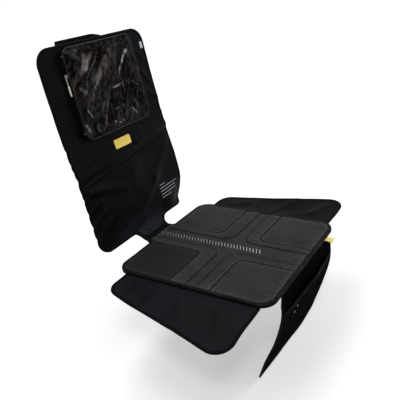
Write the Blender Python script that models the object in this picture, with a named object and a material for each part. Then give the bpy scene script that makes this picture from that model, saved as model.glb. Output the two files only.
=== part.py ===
"""Car seat protector: a padded seat pad with side and front flaps, and a tall backrest on a narrow neck.

Units are metres and +Z is up. The origin is the centre of the seat pad's flat underside, +X is to the right
seen from the front, and +Y points back to the backrest. Most pieces are cut flat in (x, s, n), where s runs
along the cloth and n stands off its visible face, and are then laid on the seat, the backrest or the flap.
"""

from math import atan2, cos, pi, radians, sin, tan

import bmesh
import bpy
import numpy as np
from mathutils import Vector

# Cloth, gaps and tape
gap = 0.0003
tape_thick = 0.0007
tape_leg = 0.008
arc_steps = 5

# Seat pad
seat_half_width = 0.2305
seat_front = -0.2426
seat_rear = 0.2224
seat_tab_end = 0.2424
tab_half_width = 0.0575
tab_fillet = 0.008
seat_corner_radius = 0.042
base_thick = 0.0020
foam_thick = 0.0060
foam_inset = 0.0020
panel_thick = 0.0030
pad_crown = 0.0020
pad_shoulder_share = 0.8
pad_rim = 0.0090
pad_rise = 0.0070
pad_shoulder = 0.0160
pad_inner_radius = 0.0220
pad_square_radius = 0.0020
cross_half_width = 0.0572
cross_front = -0.0723
cross_rear = 0.0471
channel_depth = 0.0015
channel_half_width = 0.0300
channel_front = -0.0326
channel_rear = -0.0026
channel_radius = 0.0400

# Grip dots
dot_radius = 0.0026
dot_height = 0.0010
dot_rows = 34
dot_columns = 3
dot_row_pitch = 0.0101
dot_column_pitch = 0.0078
dot_row_slant = 0.0018
dot_sides = 6
dot_film = 0.0004
dot_margin = 0.0020

# Side flaps
side_flap_thick = 0.0018
side_flap_top = 0.0024
side_flap_droop = radians(1.5)
side_flap_rear = 0.1880
side_flap_front = -0.2180
side_flap_rear_reach = 0.0830
side_flap_front_reach = 0.1800
side_flap_rear_radius = 0.0500
side_flap_front_radius = 0.0450

# Front flap, which hangs on one cubic curve in the (y, z) plane
front_flap_thick = 0.0016
front_flap_half_width = 0.1750
front_flap_top_half_width = 0.1620
front_flap_shoulder = 0.0220
front_flap_shoulder_radius = 0.0180
front_flap_corner_radius = 0.0200
front_flap_setback = 0.0004
front_flap_belly = (0.0130, -0.0550)
front_flap_tuck = (0.0000, -0.1100)
front_flap_end = (-0.0550, -0.2620)
front_flap_rows = 10

# Mesh pocket on the front flap
mesh_thick = 0.0008
mesh_bulge = 0.0110
mesh_hem_drop = 0.0455
mesh_columns = 10
mesh_rows = 3
hem_width = 0.0120
hem_thick = 0.0008
stud_radius = 0.0027
stud_height = 0.0016
stud_sides = 10
stud_top_share = 0.6
stud_places = {"press_stud_upper": (-0.0950, 0.0200), "press_stud_lower": (-0.1090, 0.0310)}

# Corner tag
ribbon_x = 0.1450
ribbon_width = 0.0220
ribbon_length = 0.0180
ribbon_thick = 0.0008
ribbon_loop = 0.0028
ribbon_steps = 6
ribbon_height = 0.0030
ribbon_sag = 0.0030

# Backrest: a plane that leans back and bows forward below, joined to the seat by a curved neck
back_lean = radians(8.685)
back_base_y = 0.2893
back_base_z = 0.0275
back_half_width = 0.2165
back_height = 0.5780
back_top_radius = 0.0450
back_bottom_radius = 0.0400
back_bow = 0.0120
back_bow_steps = 5
back_panel_thick = 0.0030
back_lining_thick = 0.0015
neck_start_z = 0.0100
neck_bend_radius = 0.0450
neck_bend_steps = 7
neck_knee_drop = 0.0080
neck_fillet = 0.0300
neck_tape_tab = 0.0090
neck_tape_reach = 0.0110
back_margin = 0.0300

# Clear pocket, placed down from the backrest's top edge
pocket_half_width = 0.1400
pocket_drop = 0.0120
pocket_height = 0.2480
pocket_top = back_height - pocket_drop
pocket_bottom = pocket_top - pocket_height
pocket_depth = 0.0160
pocket_radius = 0.0220
pocket_wall = 0.0012
window_thick = 0.0005
piping_radius = 0.0013
piping_sides = 6

# The bow and the slanted seam below the pocket
back_bow_rise = 0.0120
back_bow_length = 0.1800
back_bow_high = pocket_bottom + back_bow_rise
back_bow_low = back_bow_high - back_bow_length
seam_drop = 0.0950
seam_middle = pocket_bottom - seam_drop
seam_slope = 0.1000
seam_tape_width = 0.0090

# Patch, printed stripes and side tag on the backrest
patch_size = (0.0720, 0.0280)
patch_drop = 0.0450
patch_middle = pocket_bottom - patch_drop
patch_radius = 0.0050
patch_thick = 0.0010
stripe_thick = 0.0003
stripe_inset = 0.1205
stripe_left = back_half_width - stripe_inset
stripe_top = 0.0900
stripe_pitch = 0.0105
stripe_height = 0.0035
stripe_lengths = (0.0300, 0.0950, 0.0850, 0.0880, 0.0520)
stripe_upright = 0.0012
tag_width = 0.0120
tag_height = 0.0200
tag_drop = 0.0530
tag_middle = back_height - tag_drop
tag_thick = 0.0006

# Zip in the pocket's left wall
zip_low_margin = 0.0180
zip_high_margin = 0.0160
zip_low = pocket_bottom + zip_low_margin
zip_high = pocket_top - zip_high_margin
zip_tape_width = 0.0030
coil_width = 0.0032
coil_thick = 0.0030
coil_proud = 0.0015
stop_length = 0.0030
slider_drop = 0.0520
slider_middle = zip_high - slider_drop
slider_length = 0.0100
slider_width = 0.0078
slider_plate = 0.0009
bail_length = 0.0076
bail_height = 0.0050
bail_thick = 0.0009
bail_width = 0.0014
union_overlap = 0.0002

# Zip pull: an eye, a thin stem and a thick grip
pull_bar = 0.0010
pull_eye_length = 0.0085
pull_side_bar = 0.0011
pull_side_clear = 0.0004
pull_stem_width = 0.0022
pull_stem_length = 0.0180
pull_grip_width = 0.0060
pull_grip_thick = 0.0034
pull_grip_length = 0.0280
pull_grip_radius = 0.0018

# Headrest strap
strap_half_width = 0.0850
strap_depth = 0.0600
strap_height = 0.0500
strap_foot_drop = 0.0120
strap_foot_top = back_height - strap_foot_drop
strap_rise = 0.0250
strap_thick = 0.0020
strap_bend = 0.0180
strap_foot = 0.0260
anchor_width = 0.0300
anchor_thick = 0.0015

# Colours, as linear values, with their roughness and metallic value
black_cloth = ((0.012, 0.013, 0.016), 0.72, 0.0)
lining_cloth = ((0.016, 0.016, 0.018), 0.85, 0.0)
seat_cloth = ((0.040, 0.040, 0.043), 0.62, 0.0)
dark_seat_cloth = ((0.030, 0.030, 0.032), 0.65, 0.0)
foam = ((0.250, 0.250, 0.260), 0.90, 0.0)
grip_layer = ((0.020, 0.020, 0.022), 0.95, 0.0)
tape_black = ((0.008, 0.008, 0.009), 0.60, 0.0)
silver_dot = ((0.700, 0.700, 0.700), 0.45, 0.0)
mesh_black = ((0.010, 0.010, 0.011), 0.80, 0.0)
yellow = ((0.900, 0.560, 0.020), 0.60, 0.0)
pale_print = ((0.550, 0.560, 0.580), 0.70, 0.0)
clear_film = ((0.500, 0.500, 0.500), 0.08, 0.0)
stud_metal = ((0.300, 0.300, 0.310), 0.35, 1.0)
pale_metal = ((0.720, 0.700, 0.620), 0.35, 0.6)

for leftover in list(bpy.data.objects):
    bpy.data.objects.remove(leftover, do_unlink=True)


def make_material(name, finish):
    colour, roughness, metallic = finish
    material = bpy.data.materials.new(name)
    material.use_nodes = True
    shader = material.node_tree.nodes["Principled BSDF"]
    shader.inputs["Base Color"].default_value = (*colour, 1.0)
    shader.inputs["Roughness"].default_value = roughness
    shader.inputs["Metallic"].default_value = metallic
    material.diffuse_color = (*colour, 1.0)
    return material


def add_object(name, bm, finish, origin=(0.0, 0.0, 0.0)):
    """Makes the mesh an object whose origin is at the given point."""
    bmesh.ops.recalc_face_normals(bm, faces=bm.faces)
    bmesh.ops.translate(bm, verts=bm.verts, vec=-Vector(origin))
    mesh = bpy.data.meshes.new(name)
    bm.to_mesh(mesh)
    bm.free()
    obj = bpy.data.objects.new(name, mesh)
    obj.location = origin
    bpy.context.scene.collection.objects.link(obj)
    mesh.materials.append(make_material(name, finish))
    return obj


def hide_cutter(obj):
    obj.hide_render = True
    obj.display_type = "WIRE"


def add_boolean(obj, other, operation):
    hide_cutter(other)
    modifier = obj.modifiers.new(operation.title(), "BOOLEAN")
    modifier.operation = operation
    modifier.solver = "EXACT"
    modifier.object = other


def outward(direction):
    return Vector((direction.y, -direction.x))


def rounded_path(corners, offset=0.0, closed=True):
    """Points along corners (x, y, radius), counterclockwise, with each corner rounded.

    A positive offset moves the whole path outwards and keeps its number of points.
    """
    places = [Vector(corner[:2]) for corner in corners]
    count = len(corners)
    sides = [(places[(i + 1) % count] - places[i]).normalized() for i in range(count)]
    path = []
    for i, (place, corner) in enumerate(zip(places, corners)):
        if not closed and i in (0, count - 1):
            path.append(place + outward(sides[min(i, count - 2)]) * offset)
            continue
        before, after = sides[i - 1], sides[i]
        turn = atan2(before.cross(after), before.dot(after))
        first, second = outward(before), outward(after)
        tip = place + (first + second) * offset / (1.0 + first.dot(second))
        if not corner[2]:
            path.append(tip)
            continue
        bend = 1.0 if turn > 0.0 else -1.0
        radius = max(corner[2] + bend * offset, gap)
        spoke = outward(before) * radius * bend
        centre = tip - before * radius * tan(abs(turn) / 2.0) - spoke
        for step in range(arc_steps + 1):
            angle = turn * step / arc_steps
            path.append(centre + Vector((spoke.x * cos(angle) - spoke.y * sin(angle),
                                         spoke.x * sin(angle) + spoke.y * cos(angle))))
    return path


def loft(sections, ring=False):
    """A closed mesh through sections of equal point counts, capped at both ends or joined into a ring."""
    bm = bmesh.new()
    rows = [[bm.verts.new(point) for point in section] for section in sections]
    pairs = list(zip(rows, rows[1:])) + ([(rows[-1], rows[0])] if ring else [])
    for low, high in pairs:
        for i in range(len(low)):
            j = (i + 1) % len(low)
            bm.faces.new((low[i], low[j], high[j], high[i]))
    if not ring:
        bm.faces.new(rows[0])
        bm.faces.new(rows[-1])
    return bm


def at_height(path, height):
    return [(point[0], point[1], height) for point in path]


def slab(path, low, high):
    return loft([at_height(path, low), at_height(path, high)])


def box(x0, x1, s0, s1, n0, n1):
    return slab([(x0, s0), (x1, s0), (x1, s1), (x0, s1)], n0, n1)


def rectangle(x0, x1, s0, s1, radius):
    return [(x0, s0, radius), (x1, s0, radius), (x1, s1, radius), (x0, s1, radius)]


def merged(parts):
    """One mesh that holds all the given ones as separate bodies."""
    whole = bmesh.new()
    for part in parts:
        mesh = bpy.data.meshes.new("piece")
        part.to_mesh(mesh)
        part.free()
        whole.from_mesh(mesh)
        bpy.data.meshes.remove(mesh)
    return whole


def sheet_grid(xs, rows, low, high):
    """A closed sheet between the heights low(x, s) and high(x, s), with a row of s values for each x."""
    bm = bmesh.new()
    layers = [[[bm.verts.new((x, s, height(x, s))) for s in row] for x, row in zip(xs, rows)]
              for height in (low, high)]
    across, along = len(xs), len(rows[0])
    for layer in layers:
        for i in range(across - 1):
            for j in range(along - 1):
                bm.faces.new((layer[i][j], layer[i + 1][j], layer[i + 1][j + 1], layer[i][j + 1]))
    rim = [(i, 0) for i in range(across)] + [(across - 1, j) for j in range(1, along)]
    rim += [(i, along - 1) for i in range(across - 2, -1, -1)] + [(0, j) for j in range(along - 2, 0, -1)]
    for (i, j), (k, m) in zip(rim, rim[1:] + rim[:1]):
        bm.faces.new((layers[0][i][j], layers[0][k][m], layers[1][k][m], layers[1][i][j]))
    return bm


def folded_tape(corners, low, high, closed=False, low_edge=None):
    """Edge tape folded round a sheet that lies between the heights low and high.

    It is a U in section: its web stands just outside the sheet's edge, and a leg lies on each face.
    """
    inner_low = low - gap if low_edge is None else low_edge + tape_thick
    inner_high = high + gap
    section = (
        (-tape_leg, inner_low - tape_thick), (gap + tape_thick, inner_low - tape_thick),
        (gap + tape_thick, inner_high + tape_thick), (-tape_leg, inner_high + tape_thick),
        (-tape_leg, inner_high), (gap, inner_high), (gap, inner_low), (-tape_leg, inner_low),
    )
    paths = [rounded_path(corners, offset, closed) for offset, _ in section]
    heights = [height for _, height in section]
    sections = [[(path[i].x, path[i].y, height) for path, height in zip(paths, heights)]
                for i in range(len(paths[0]))]
    return loft(sections, ring=closed)


class Bend:
    """A sheet that is curved along s alone: its rows run through (y, z) points, and n stands off its face."""

    def __init__(self, points, face):
        self.points = np.array(points)
        steps = np.diff(self.points, axis=0)
        self.s = np.concatenate([[0.0], np.cumsum(np.linalg.norm(steps, axis=1))])
        across = face * np.stack([-steps[:, 1], steps[:, 0]], axis=1)
        across /= np.linalg.norm(across, axis=1)[:, None]
        joined = np.vstack([across[:1], across[:-1] + across[1:], across[-1:]])
        joined[1:-1] /= (1.0 + (across[:-1] * across[1:]).sum(axis=1))[:, None]
        self.normals = joined

    def place(self, x, s, n):
        y = np.interp(s, self.s, self.points[:, 0]) + n * np.interp(s, self.s, self.normals[:, 0])
        z = np.interp(s, self.s, self.points[:, 1]) + n * np.interp(s, self.s, self.normals[:, 1])
        return Vector((x, float(y), float(z)))

    def lay(self, bm, cut=True):
        """Cuts the flat mesh across at each row and lays it on the sheet."""
        for s in self.s[1:-1] if cut else ():
            everything = list(bm.verts) + list(bm.edges) + list(bm.faces)
            bmesh.ops.bisect_plane(bm, geom=everything, dist=1e-6,
                                   plane_co=(0.0, s, 0.0), plane_no=(0.0, 1.0, 0.0))
        for vertex in bm.verts:
            vertex.co = self.place(*vertex.co)
        return bm


# Heights in the seat, from its underside up
foam_bottom = base_thick + gap
panel_bottom = foam_bottom + foam_thick + gap
panel_top = panel_bottom + panel_thick
channel_floor = panel_top - channel_depth
seat_tape_top = panel_top + gap + tape_thick
tape_reach = gap + tape_thick


def seat_corners():
    """The seat's outline from the tab's left end round to its right end."""
    return [
        (-tab_half_width, seat_tab_end, 0.0),
        (-tab_half_width, seat_rear, tab_fillet),
        (-seat_half_width, seat_rear, seat_corner_radius),
        (-seat_half_width, seat_front, seat_corner_radius),
        (seat_half_width, seat_front, seat_corner_radius),
        (seat_half_width, seat_rear, seat_corner_radius),
        (tab_half_width, seat_rear, tab_fillet),
        (tab_half_width, seat_tab_end, 0.0),
    ]


def build_seat_layers():
    underlay = rounded_path(seat_corners(), -(tape_leg + gap))
    add_object("seat_base_layer", slab(underlay, 0.0, base_thick), grip_layer)
    core = rounded_path(seat_corners(), -foam_inset)
    add_object("seat_foam_core", slab(core, foam_bottom, foam_bottom + foam_thick), foam)


def cross_corners(half_width, front, rear, side, front_end, rear_end, radius):
    """A cross with rounded inner corners, counterclockwise."""
    return [
        (-half_width, rear_end, 0.0), (-half_width, rear, radius), (-side, rear, 0.0),
        (-side, front, 0.0), (-half_width, front, radius), (-half_width, front_end, 0.0),
        (half_width, front_end, 0.0), (half_width, front, radius), (side, front, 0.0),
        (side, rear, 0.0), (half_width, rear, radius), (half_width, rear_end, 0.0),
    ]


def build_cross_panel():
    corners = cross_corners(cross_half_width, cross_front, cross_rear, seat_half_width,
                            seat_front, seat_tab_end, pad_inner_radius + gap)
    panel = add_object("seat_cross_panel", slab(rounded_path(corners), panel_bottom, panel_top), seat_cloth)
    inset = tape_leg + gap
    corners = cross_corners(channel_half_width, channel_front, channel_rear, seat_half_width - inset,
                            seat_front + inset, seat_tab_end - inset, channel_radius)
    channel = slab(rounded_path(corners), channel_floor, panel_top + channel_depth)
    add_boolean(panel, add_object("channel_cutter", channel, seat_cloth), "DIFFERENCE")


def build_pad(name, side, inner_y, outer_y, finish):
    """One quilted corner pad: a flat rim all round, then a soft rise to a flat crown."""
    inner_x = side * (cross_half_width + gap)
    outer_x = side * seat_half_width
    corners = [
        (inner_x, inner_y, pad_inner_radius), (outer_x, inner_y, pad_square_radius),
        (outer_x, outer_y, seat_corner_radius), (inner_x, outer_y, pad_square_radius),
    ]
    if side * (outer_y - inner_y) < 0.0:
        corners.reverse()
    levels = (
        (0.0, panel_bottom), (0.0, panel_top), (pad_rim, panel_top),
        (pad_rim + pad_rise, panel_top + pad_shoulder_share * pad_crown),
        (pad_rim + pad_shoulder, panel_top + pad_crown),
    )
    bm = loft([at_height(rounded_path(corners, -inset), height) for inset, height in levels])
    add_object(name, bm, finish)


def build_pads():
    rear = cross_rear + gap
    front = cross_front - gap
    build_pad("seat_pad_rear_left", -1, rear, seat_rear, dark_seat_cloth)
    build_pad("seat_pad_rear_right", 1, rear, seat_rear, seat_cloth)
    build_pad("seat_pad_front_left", -1, front, seat_front, seat_cloth)
    build_pad("seat_pad_front_right", 1, front, seat_front, seat_cloth)


def build_grip_dots():
    """Rows of soft dots, moulded on a thin film that is bonded to the channel's floor."""
    film_top = channel_floor + gap + dot_film
    rear = seat_tab_end - tape_leg - 2.0 * gap
    first_row = rear - dot_margin - dot_radius - dot_row_slant
    dots = []
    for row in range(dot_rows):
        for column in range(dot_columns):
            place = column - (dot_columns - 1) / 2.0
            x = place * dot_column_pitch
            y = first_row - row * dot_row_pitch + place * dot_row_slant
            ring = [(x + dot_radius * cos(2.0 * pi * k / dot_sides),
                     y + dot_radius * sin(2.0 * pi * k / dot_sides)) for k in range(dot_sides)]
            dots.append(slab(ring, film_top - union_overlap, film_top + dot_height))
    reach = dot_column_pitch * (dot_columns - 1) / 2.0 + dot_radius + dot_margin
    front = first_row - (dot_rows - 1) * dot_row_pitch - dot_row_slant - dot_radius - dot_margin
    film = box(-reach, reach, front, rear, channel_floor + gap, film_top)
    strip = add_object("grip_dots", film, silver_dot)
    add_boolean(strip, add_object("dot_blanks", merged(dots), silver_dot), "UNION")


def build_corner_tag():
    """A yellow ribbon folded over once, with its two ends in the front seam."""
    root = seat_front - tape_reach - gap
    half = ribbon_loop / 2.0
    tip_angles = [pi / 2.0 + pi * k / ribbon_steps for k in range(ribbon_steps + 1)]
    tip = root - ribbon_length + half
    outer = [(root, half)] + [(tip + half * cos(a), half * sin(a)) for a in tip_angles] + [(root, -half)]
    slim = half - ribbon_thick
    inner = [(root, -slim)] + [(tip + slim * cos(a), slim * sin(a)) for a in reversed(tip_angles)]
    inner += [(root, slim)]
    profile = [(y, ribbon_height + z - ribbon_sag * ((root - y) / ribbon_length) ** 2)
               for y, z in outer + inner]
    ends = (ribbon_x - ribbon_width / 2.0, ribbon_x + ribbon_width / 2.0)
    add_object("corner_tag", loft([[(x, y, z) for y, z in profile] for x in ends]), yellow)


def build_side_flap(name, side):
    """A flat trapezoid of cloth that starts at the seat's edge and droops a little, taped on three sides."""
    start = seat_half_width + tape_reach + gap
    corners = [
        (0.0, side_flap_front, 0.0), (side_flap_front_reach, side_flap_front, side_flap_front_radius),
        (side_flap_rear_reach, side_flap_rear, side_flap_rear_radius), (0.0, side_flap_rear, 0.0),
    ]
    panel = slab(rounded_path(corners), -side_flap_thick, 0.0)
    tape = folded_tape(corners, -side_flap_thick, 0.0)
    for bm in (panel, tape):
        for vertex in bm.verts:
            reach, y, n = vertex.co
            vertex.co = (side * (start + reach * cos(side_flap_droop) + n * sin(side_flap_droop)), y,
                         side_flap_top - reach * sin(side_flap_droop) + n * cos(side_flap_droop))
    add_object(name, panel, black_cloth)
    add_object(name + "_binding", tape, tape_black)


def front_flap_bend():
    """The curve that the front flap hangs on, from under the seat's front edge down."""
    top = Vector((seat_front - front_flap_setback, -gap))
    handles = [top] + [top + Vector((-forward, down))
                       for forward, down in (front_flap_belly, front_flap_tuck, front_flap_end)]
    points = []
    for row in range(front_flap_rows + 1):
        t = row / front_flap_rows
        weights = ((1 - t) ** 3, 3 * t * (1 - t) ** 2, 3 * t * t * (1 - t), t ** 3)
        points.append(tuple(sum((w * h for w, h in zip(weights, handles)), Vector((0.0, 0.0)))))
    points.append(tuple(2.0 * Vector(points[-1]) - Vector(points[-2])))
    return Bend(points, face=-1.0)


flap_bend = front_flap_bend()
front_flap_length = float(flap_bend.s[-2])


def build_front_flap():
    corners = [
        (-front_flap_top_half_width, 0.0, 0.0),
        (-front_flap_half_width, front_flap_shoulder, front_flap_shoulder_radius),
        (-front_flap_half_width, front_flap_length, front_flap_corner_radius),
        (front_flap_half_width, front_flap_length, front_flap_corner_radius),
        (front_flap_half_width, front_flap_shoulder, front_flap_shoulder_radius),
        (front_flap_top_half_width, 0.0, 0.0),
    ]
    corners.reverse()
    panel = slab(rounded_path(corners), -front_flap_thick, 0.0)
    add_object("front_flap", flap_bend.lay(panel), black_cloth)
    tape = folded_tape(corners, -front_flap_thick, 0.0)
    add_object("front_flap_binding", flap_bend.lay(tape), tape_black)


mesh_half_width = front_flap_half_width - tape_leg - gap
mesh_end = front_flap_length - tape_leg - gap
mesh_corner = front_flap_corner_radius - tape_leg


def mesh_end_at(x):
    """Where the pocket ends below, with its two rounded lower corners."""
    past = max(abs(x) - (mesh_half_width - mesh_corner), 0.0)
    return mesh_end - mesh_corner + (mesh_corner ** 2 - min(past, mesh_corner) ** 2) ** 0.5


def mesh_rise(x, s):
    """How far the mesh stands off the flap: sewn down at its sides and bottom, loose at its mouth."""
    across = 1.0 - (x / mesh_half_width) ** 2
    down = (mesh_end - s) / (mesh_end - mesh_hem_drop)
    return gap + mesh_bulge * max(across, 0.0) * max(down, 0.0)


def mesh_front(x, s):
    return mesh_rise(x, s) + mesh_thick


def build_mesh_pocket():
    shares = [2.0 * i / mesh_columns - 1.0 for i in range(mesh_columns + 1)]
    xs = [mesh_half_width * sin(pi / 2.0 * share) for share in shares]
    rows = []
    for x in xs:
        end = mesh_end_at(x)
        rows.append([mesh_hem_drop + (end - mesh_hem_drop) * j / mesh_rows for j in range(mesh_rows + 1)])
    cloth = sheet_grid(xs, rows, mesh_rise, mesh_front)
    add_object("front_mesh_pocket", flap_bend.lay(cloth), mesh_black)
    hem_rows = [[mesh_hem_drop, mesh_hem_drop + hem_width] for _ in xs]
    hem = sheet_grid(xs, hem_rows, lambda x, s: mesh_front(x, mesh_hem_drop) + gap,
                     lambda x, s: mesh_front(x, mesh_hem_drop) + gap + hem_thick)
    add_object("pocket_hem_band", flap_bend.lay(hem), tape_black)


def build_press_studs():
    for name, (x, drop) in stud_places.items():
        s = mesh_hem_drop + drop
        foot = mesh_front(x, s) + 2.0 * gap
        rings = [(1.0, 0.0), (1.0, stud_height / 2.0), (stud_top_share, stud_height)]
        stud = loft([[(x + share * stud_radius * cos(2.0 * pi * k / stud_sides),
                       s + share * stud_radius * sin(2.0 * pi * k / stud_sides), foot + height)
                      for k in range(stud_sides)] for share, height in rings])
        add_object(name, flap_bend.lay(stud, cut=False), stud_metal)


def back_bend():
    """The backrest's front face: along the neck, round its bend and up the bowed plane."""
    up = Vector((sin(back_lean), cos(back_lean)))
    forward = Vector((-up.y, up.x))
    start = Vector((seat_tab_end + tape_reach, neck_start_z))
    plane_base = Vector((back_base_y, back_base_z))
    base = plane_base + forward * back_bow
    # The neck's line meets the backrest's plane a little below its base, and the bend rounds that corner.
    knee = base - up * neck_knee_drop
    along = (knee - start).normalized()
    turn = atan2(along.cross(up), along.dot(up))
    reach = neck_bend_radius * tan(turn / 2.0)
    centre = knee - along * reach + Vector((-along.y, along.x)) * neck_bend_radius
    points = [tuple(start)]
    for step in range(neck_bend_steps + 1):
        angle = atan2(along.y, along.x) - pi / 2.0 + turn * step / neck_bend_steps
        points.append(tuple(centre + Vector((cos(angle), sin(angle))) * neck_bend_radius))
    for step in range(back_bow_steps + 1):
        share = step / back_bow_steps
        height = back_bow_low + (back_bow_high - back_bow_low) * share
        bow = back_bow * 0.5 * (1.0 + cos(pi * share))
        points.append(tuple(plane_base + up * height + forward * bow))
    points.append(tuple(plane_base + up * (back_height + back_margin)))
    return Bend(points, face=1.0)


back_face = -back_panel_thick - gap - back_lining_thick
spine = back_bend()
plane_start = float(spine.s[-1]) - back_height - back_margin


def back_corners():
    """The backrest's outline from the neck's left end up and over to its right end, clockwise."""
    bottom, top = plane_start, plane_start + back_height
    return [
        (-tab_half_width, 0.0, 0.0),
        (-tab_half_width, bottom, neck_fillet),
        (-back_half_width, bottom, back_bottom_radius),
        (-back_half_width, top, back_top_radius),
        (back_half_width, top, back_top_radius),
        (back_half_width, bottom, back_bottom_radius),
        (tab_half_width, bottom, neck_fillet),
        (tab_half_width, 0.0, 0.0),
    ]


def seam_at(x):
    return plane_start + seam_middle + seam_slope * x


def build_back_panels():
    outline = back_corners()
    edge = back_half_width
    lower = outline[:3] + [(-edge, seam_at(-edge) - gap, 0.0), (edge, seam_at(edge) - gap, 0.0)] + outline[5:]
    upper = [(-edge, seam_at(-edge), 0.0)] + outline[3:5] + [(edge, seam_at(edge), 0.0)]
    for name, corners in (("back_panel_lower", lower), ("back_panel_upper", upper)):
        corners.reverse()
        panel = slab(rounded_path(corners), -back_panel_thick, 0.0)
        add_object(name, spine.lay(panel), black_cloth)
    outline.reverse()
    lining = slab(rounded_path(outline), back_face, back_face + back_lining_thick)
    add_object("back_lining", spine.lay(lining), lining_cloth)
    tape = folded_tape(outline, back_face, 0.0)
    add_object("back_binding", spine.lay(tape), tape_black)


def build_back_tapes():
    edge = back_half_width - tape_leg - gap
    half = seam_tape_width / 2.0
    seam = slab([(-edge, seam_at(-edge) - half), (edge, seam_at(edge) - half),
                 (edge, seam_at(edge) + half), (-edge, seam_at(-edge) + half)], gap, gap + tape_thick)
    add_object("back_seam_tape", spine.lay(seam), tape_black)
    # The neck's tape lies flat on the seat's tab, then turns up along the neck's first stretch.
    start, second = Vector(spine.points[0]), Vector(spine.points[1])
    along = (second - start).normalized()
    faces = []
    for layer in (gap, gap + tape_thick):
        foot = start + Vector((-along.y, along.x)) * layer
        level = panel_top + layer
        turn = foot + along * ((level - foot.y) / along.y)
        end = foot + along * neck_tape_reach
        faces.append([(seat_tab_end - neck_tape_tab, level), tuple(turn), tuple(end)])
    profile = faces[0] + faces[1][::-1]
    reach = tab_half_width - tape_leg - gap
    neck = loft([[(x, y, z) for y, z in profile] for x in (-reach, reach)])
    add_object("neck_seam_tape", neck, tape_black)


def build_back_marks():
    """The plain patch, the plain stripes and the side tag, all on the backrest's front face."""
    width, height = patch_size
    middle = plane_start + patch_middle
    patch = rectangle(-width / 2.0, width / 2.0, middle - height / 2.0, middle + height / 2.0, patch_radius)
    patch = slab(rounded_path(patch), gap, gap + patch_thick)
    add_object("yellow_patch", spine.lay(patch), yellow)
    # The stripes are one print: they spring from a thin upright at their left, as the teeth of a comb.
    comb = [(stripe_left - stripe_upright, plane_start + stripe_top + stripe_height)]
    comb.append((comb[0][0], plane_start + stripe_top - (len(stripe_lengths) - 1) * stripe_pitch))
    for row, length in reversed(list(enumerate(stripe_lengths))):
        low = plane_start + stripe_top - row * stripe_pitch
        root = stripe_left if row else comb[0][0]
        comb += [(stripe_left, low)] if comb[-1][1] != low else []
        comb += [(stripe_left + length, low), (stripe_left + length, low + stripe_height)]
        comb += [(root, low + stripe_height)] if row else []
    add_object("print_bars", spine.lay(slab(comb, gap, gap + stripe_thick)), pale_print)
    right = back_half_width - tape_leg - gap
    low = plane_start + tag_middle - tag_height / 2.0
    tag = box(right - tag_width, right, low, low + tag_height, gap, gap + tag_thick)
    add_object("side_tag", spine.lay(tag), pale_print)


def pocket_corners():
    return rectangle(-pocket_half_width, pocket_half_width, plane_start + pocket_bottom,
                     plane_start + pocket_top, pocket_radius)


zip_middle = gap + (pocket_depth - gap) / 2.0
slot_half = coil_width / 2.0 + gap + zip_tape_width + gap


def build_pocket():
    inner = rounded_path(pocket_corners(), -pocket_wall)
    outer = rounded_path(pocket_corners())
    section_heights = (gap, pocket_depth)
    sections = [[(*outer[i], section_heights[0]), (*outer[i], section_heights[1]),
                 (*inner[i], section_heights[1]), (*inner[i], section_heights[0])]
                for i in range(len(outer))]
    gusset = add_object("pocket_gusset", spine.lay(loft(sections, ring=True)), black_cloth)
    slot = box(-pocket_half_width - pocket_wall, -pocket_half_width + 2.0 * pocket_wall,
               plane_start + zip_low, plane_start + zip_high, zip_middle - slot_half, zip_middle + slot_half)
    add_boolean(gusset, add_object("slot_cutter", spine.lay(slot), black_cloth), "DIFFERENCE")

    film = slab(rounded_path(pocket_corners()), pocket_depth + gap, pocket_depth + gap + window_thick)
    add_object("pocket_window", spine.lay(film), clear_film)

    ring = []
    for k in range(piping_sides):
        angle = 2.0 * pi * k / piping_sides
        away = gap + piping_radius * (1.0 + cos(angle))
        height = pocket_depth + piping_radius * sin(angle)
        ring.append((rounded_path(pocket_corners(), away), height))
    sections = [[(*path[i], height) for path, height in ring] for i in range(len(ring[0][0]))]
    add_object("window_piping", spine.lay(loft(sections, ring=True)), tape_black)


def build_zip():
    wall = -pocket_half_width
    low, high = plane_start + zip_low + gap, plane_start + zip_high - gap
    near, far = coil_width / 2.0 + gap, coil_width / 2.0 + gap + zip_tape_width
    for name, n0, n1 in (("zip_tape_front", near, far), ("zip_tape_rear", -far, -near)):
        strip = box(wall, wall + pocket_wall, low, high, zip_middle + n0, zip_middle + n1)
        add_object(name, spine.lay(strip), tape_black)
    coil_outer = wall - coil_proud
    half = coil_width / 2.0
    bevel = coil_width / 4.0
    section = [(coil_outer, -half + bevel), (coil_outer, half - bevel), (coil_outer + bevel, half),
               (coil_outer + coil_thick, half), (coil_outer + coil_thick, -half),
               (coil_outer + bevel, -half)]
    ends = (low + stop_length + gap, high - stop_length - gap)
    coil = loft([[(x, s, zip_middle + n) for x, n in section] for s in ends])
    add_object("zip_coil", spine.lay(coil), black_cloth)
    for name, s in (("zip_stop_bottom", low), ("zip_stop_top", high - stop_length)):
        stop = box(coil_outer, coil_outer + coil_thick, s, s + stop_length,
                   zip_middle - half, zip_middle + half)
        add_object(name, spine.lay(stop), pale_metal)


slider_inner = -pocket_half_width - coil_proud - gap
slider_outer = slider_inner - slider_plate
bail_top = slider_outer - bail_height
pull_axis_x = bail_top + bail_thick + gap + pull_bar / 2.0
slider_s = plane_start + slider_middle


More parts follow.
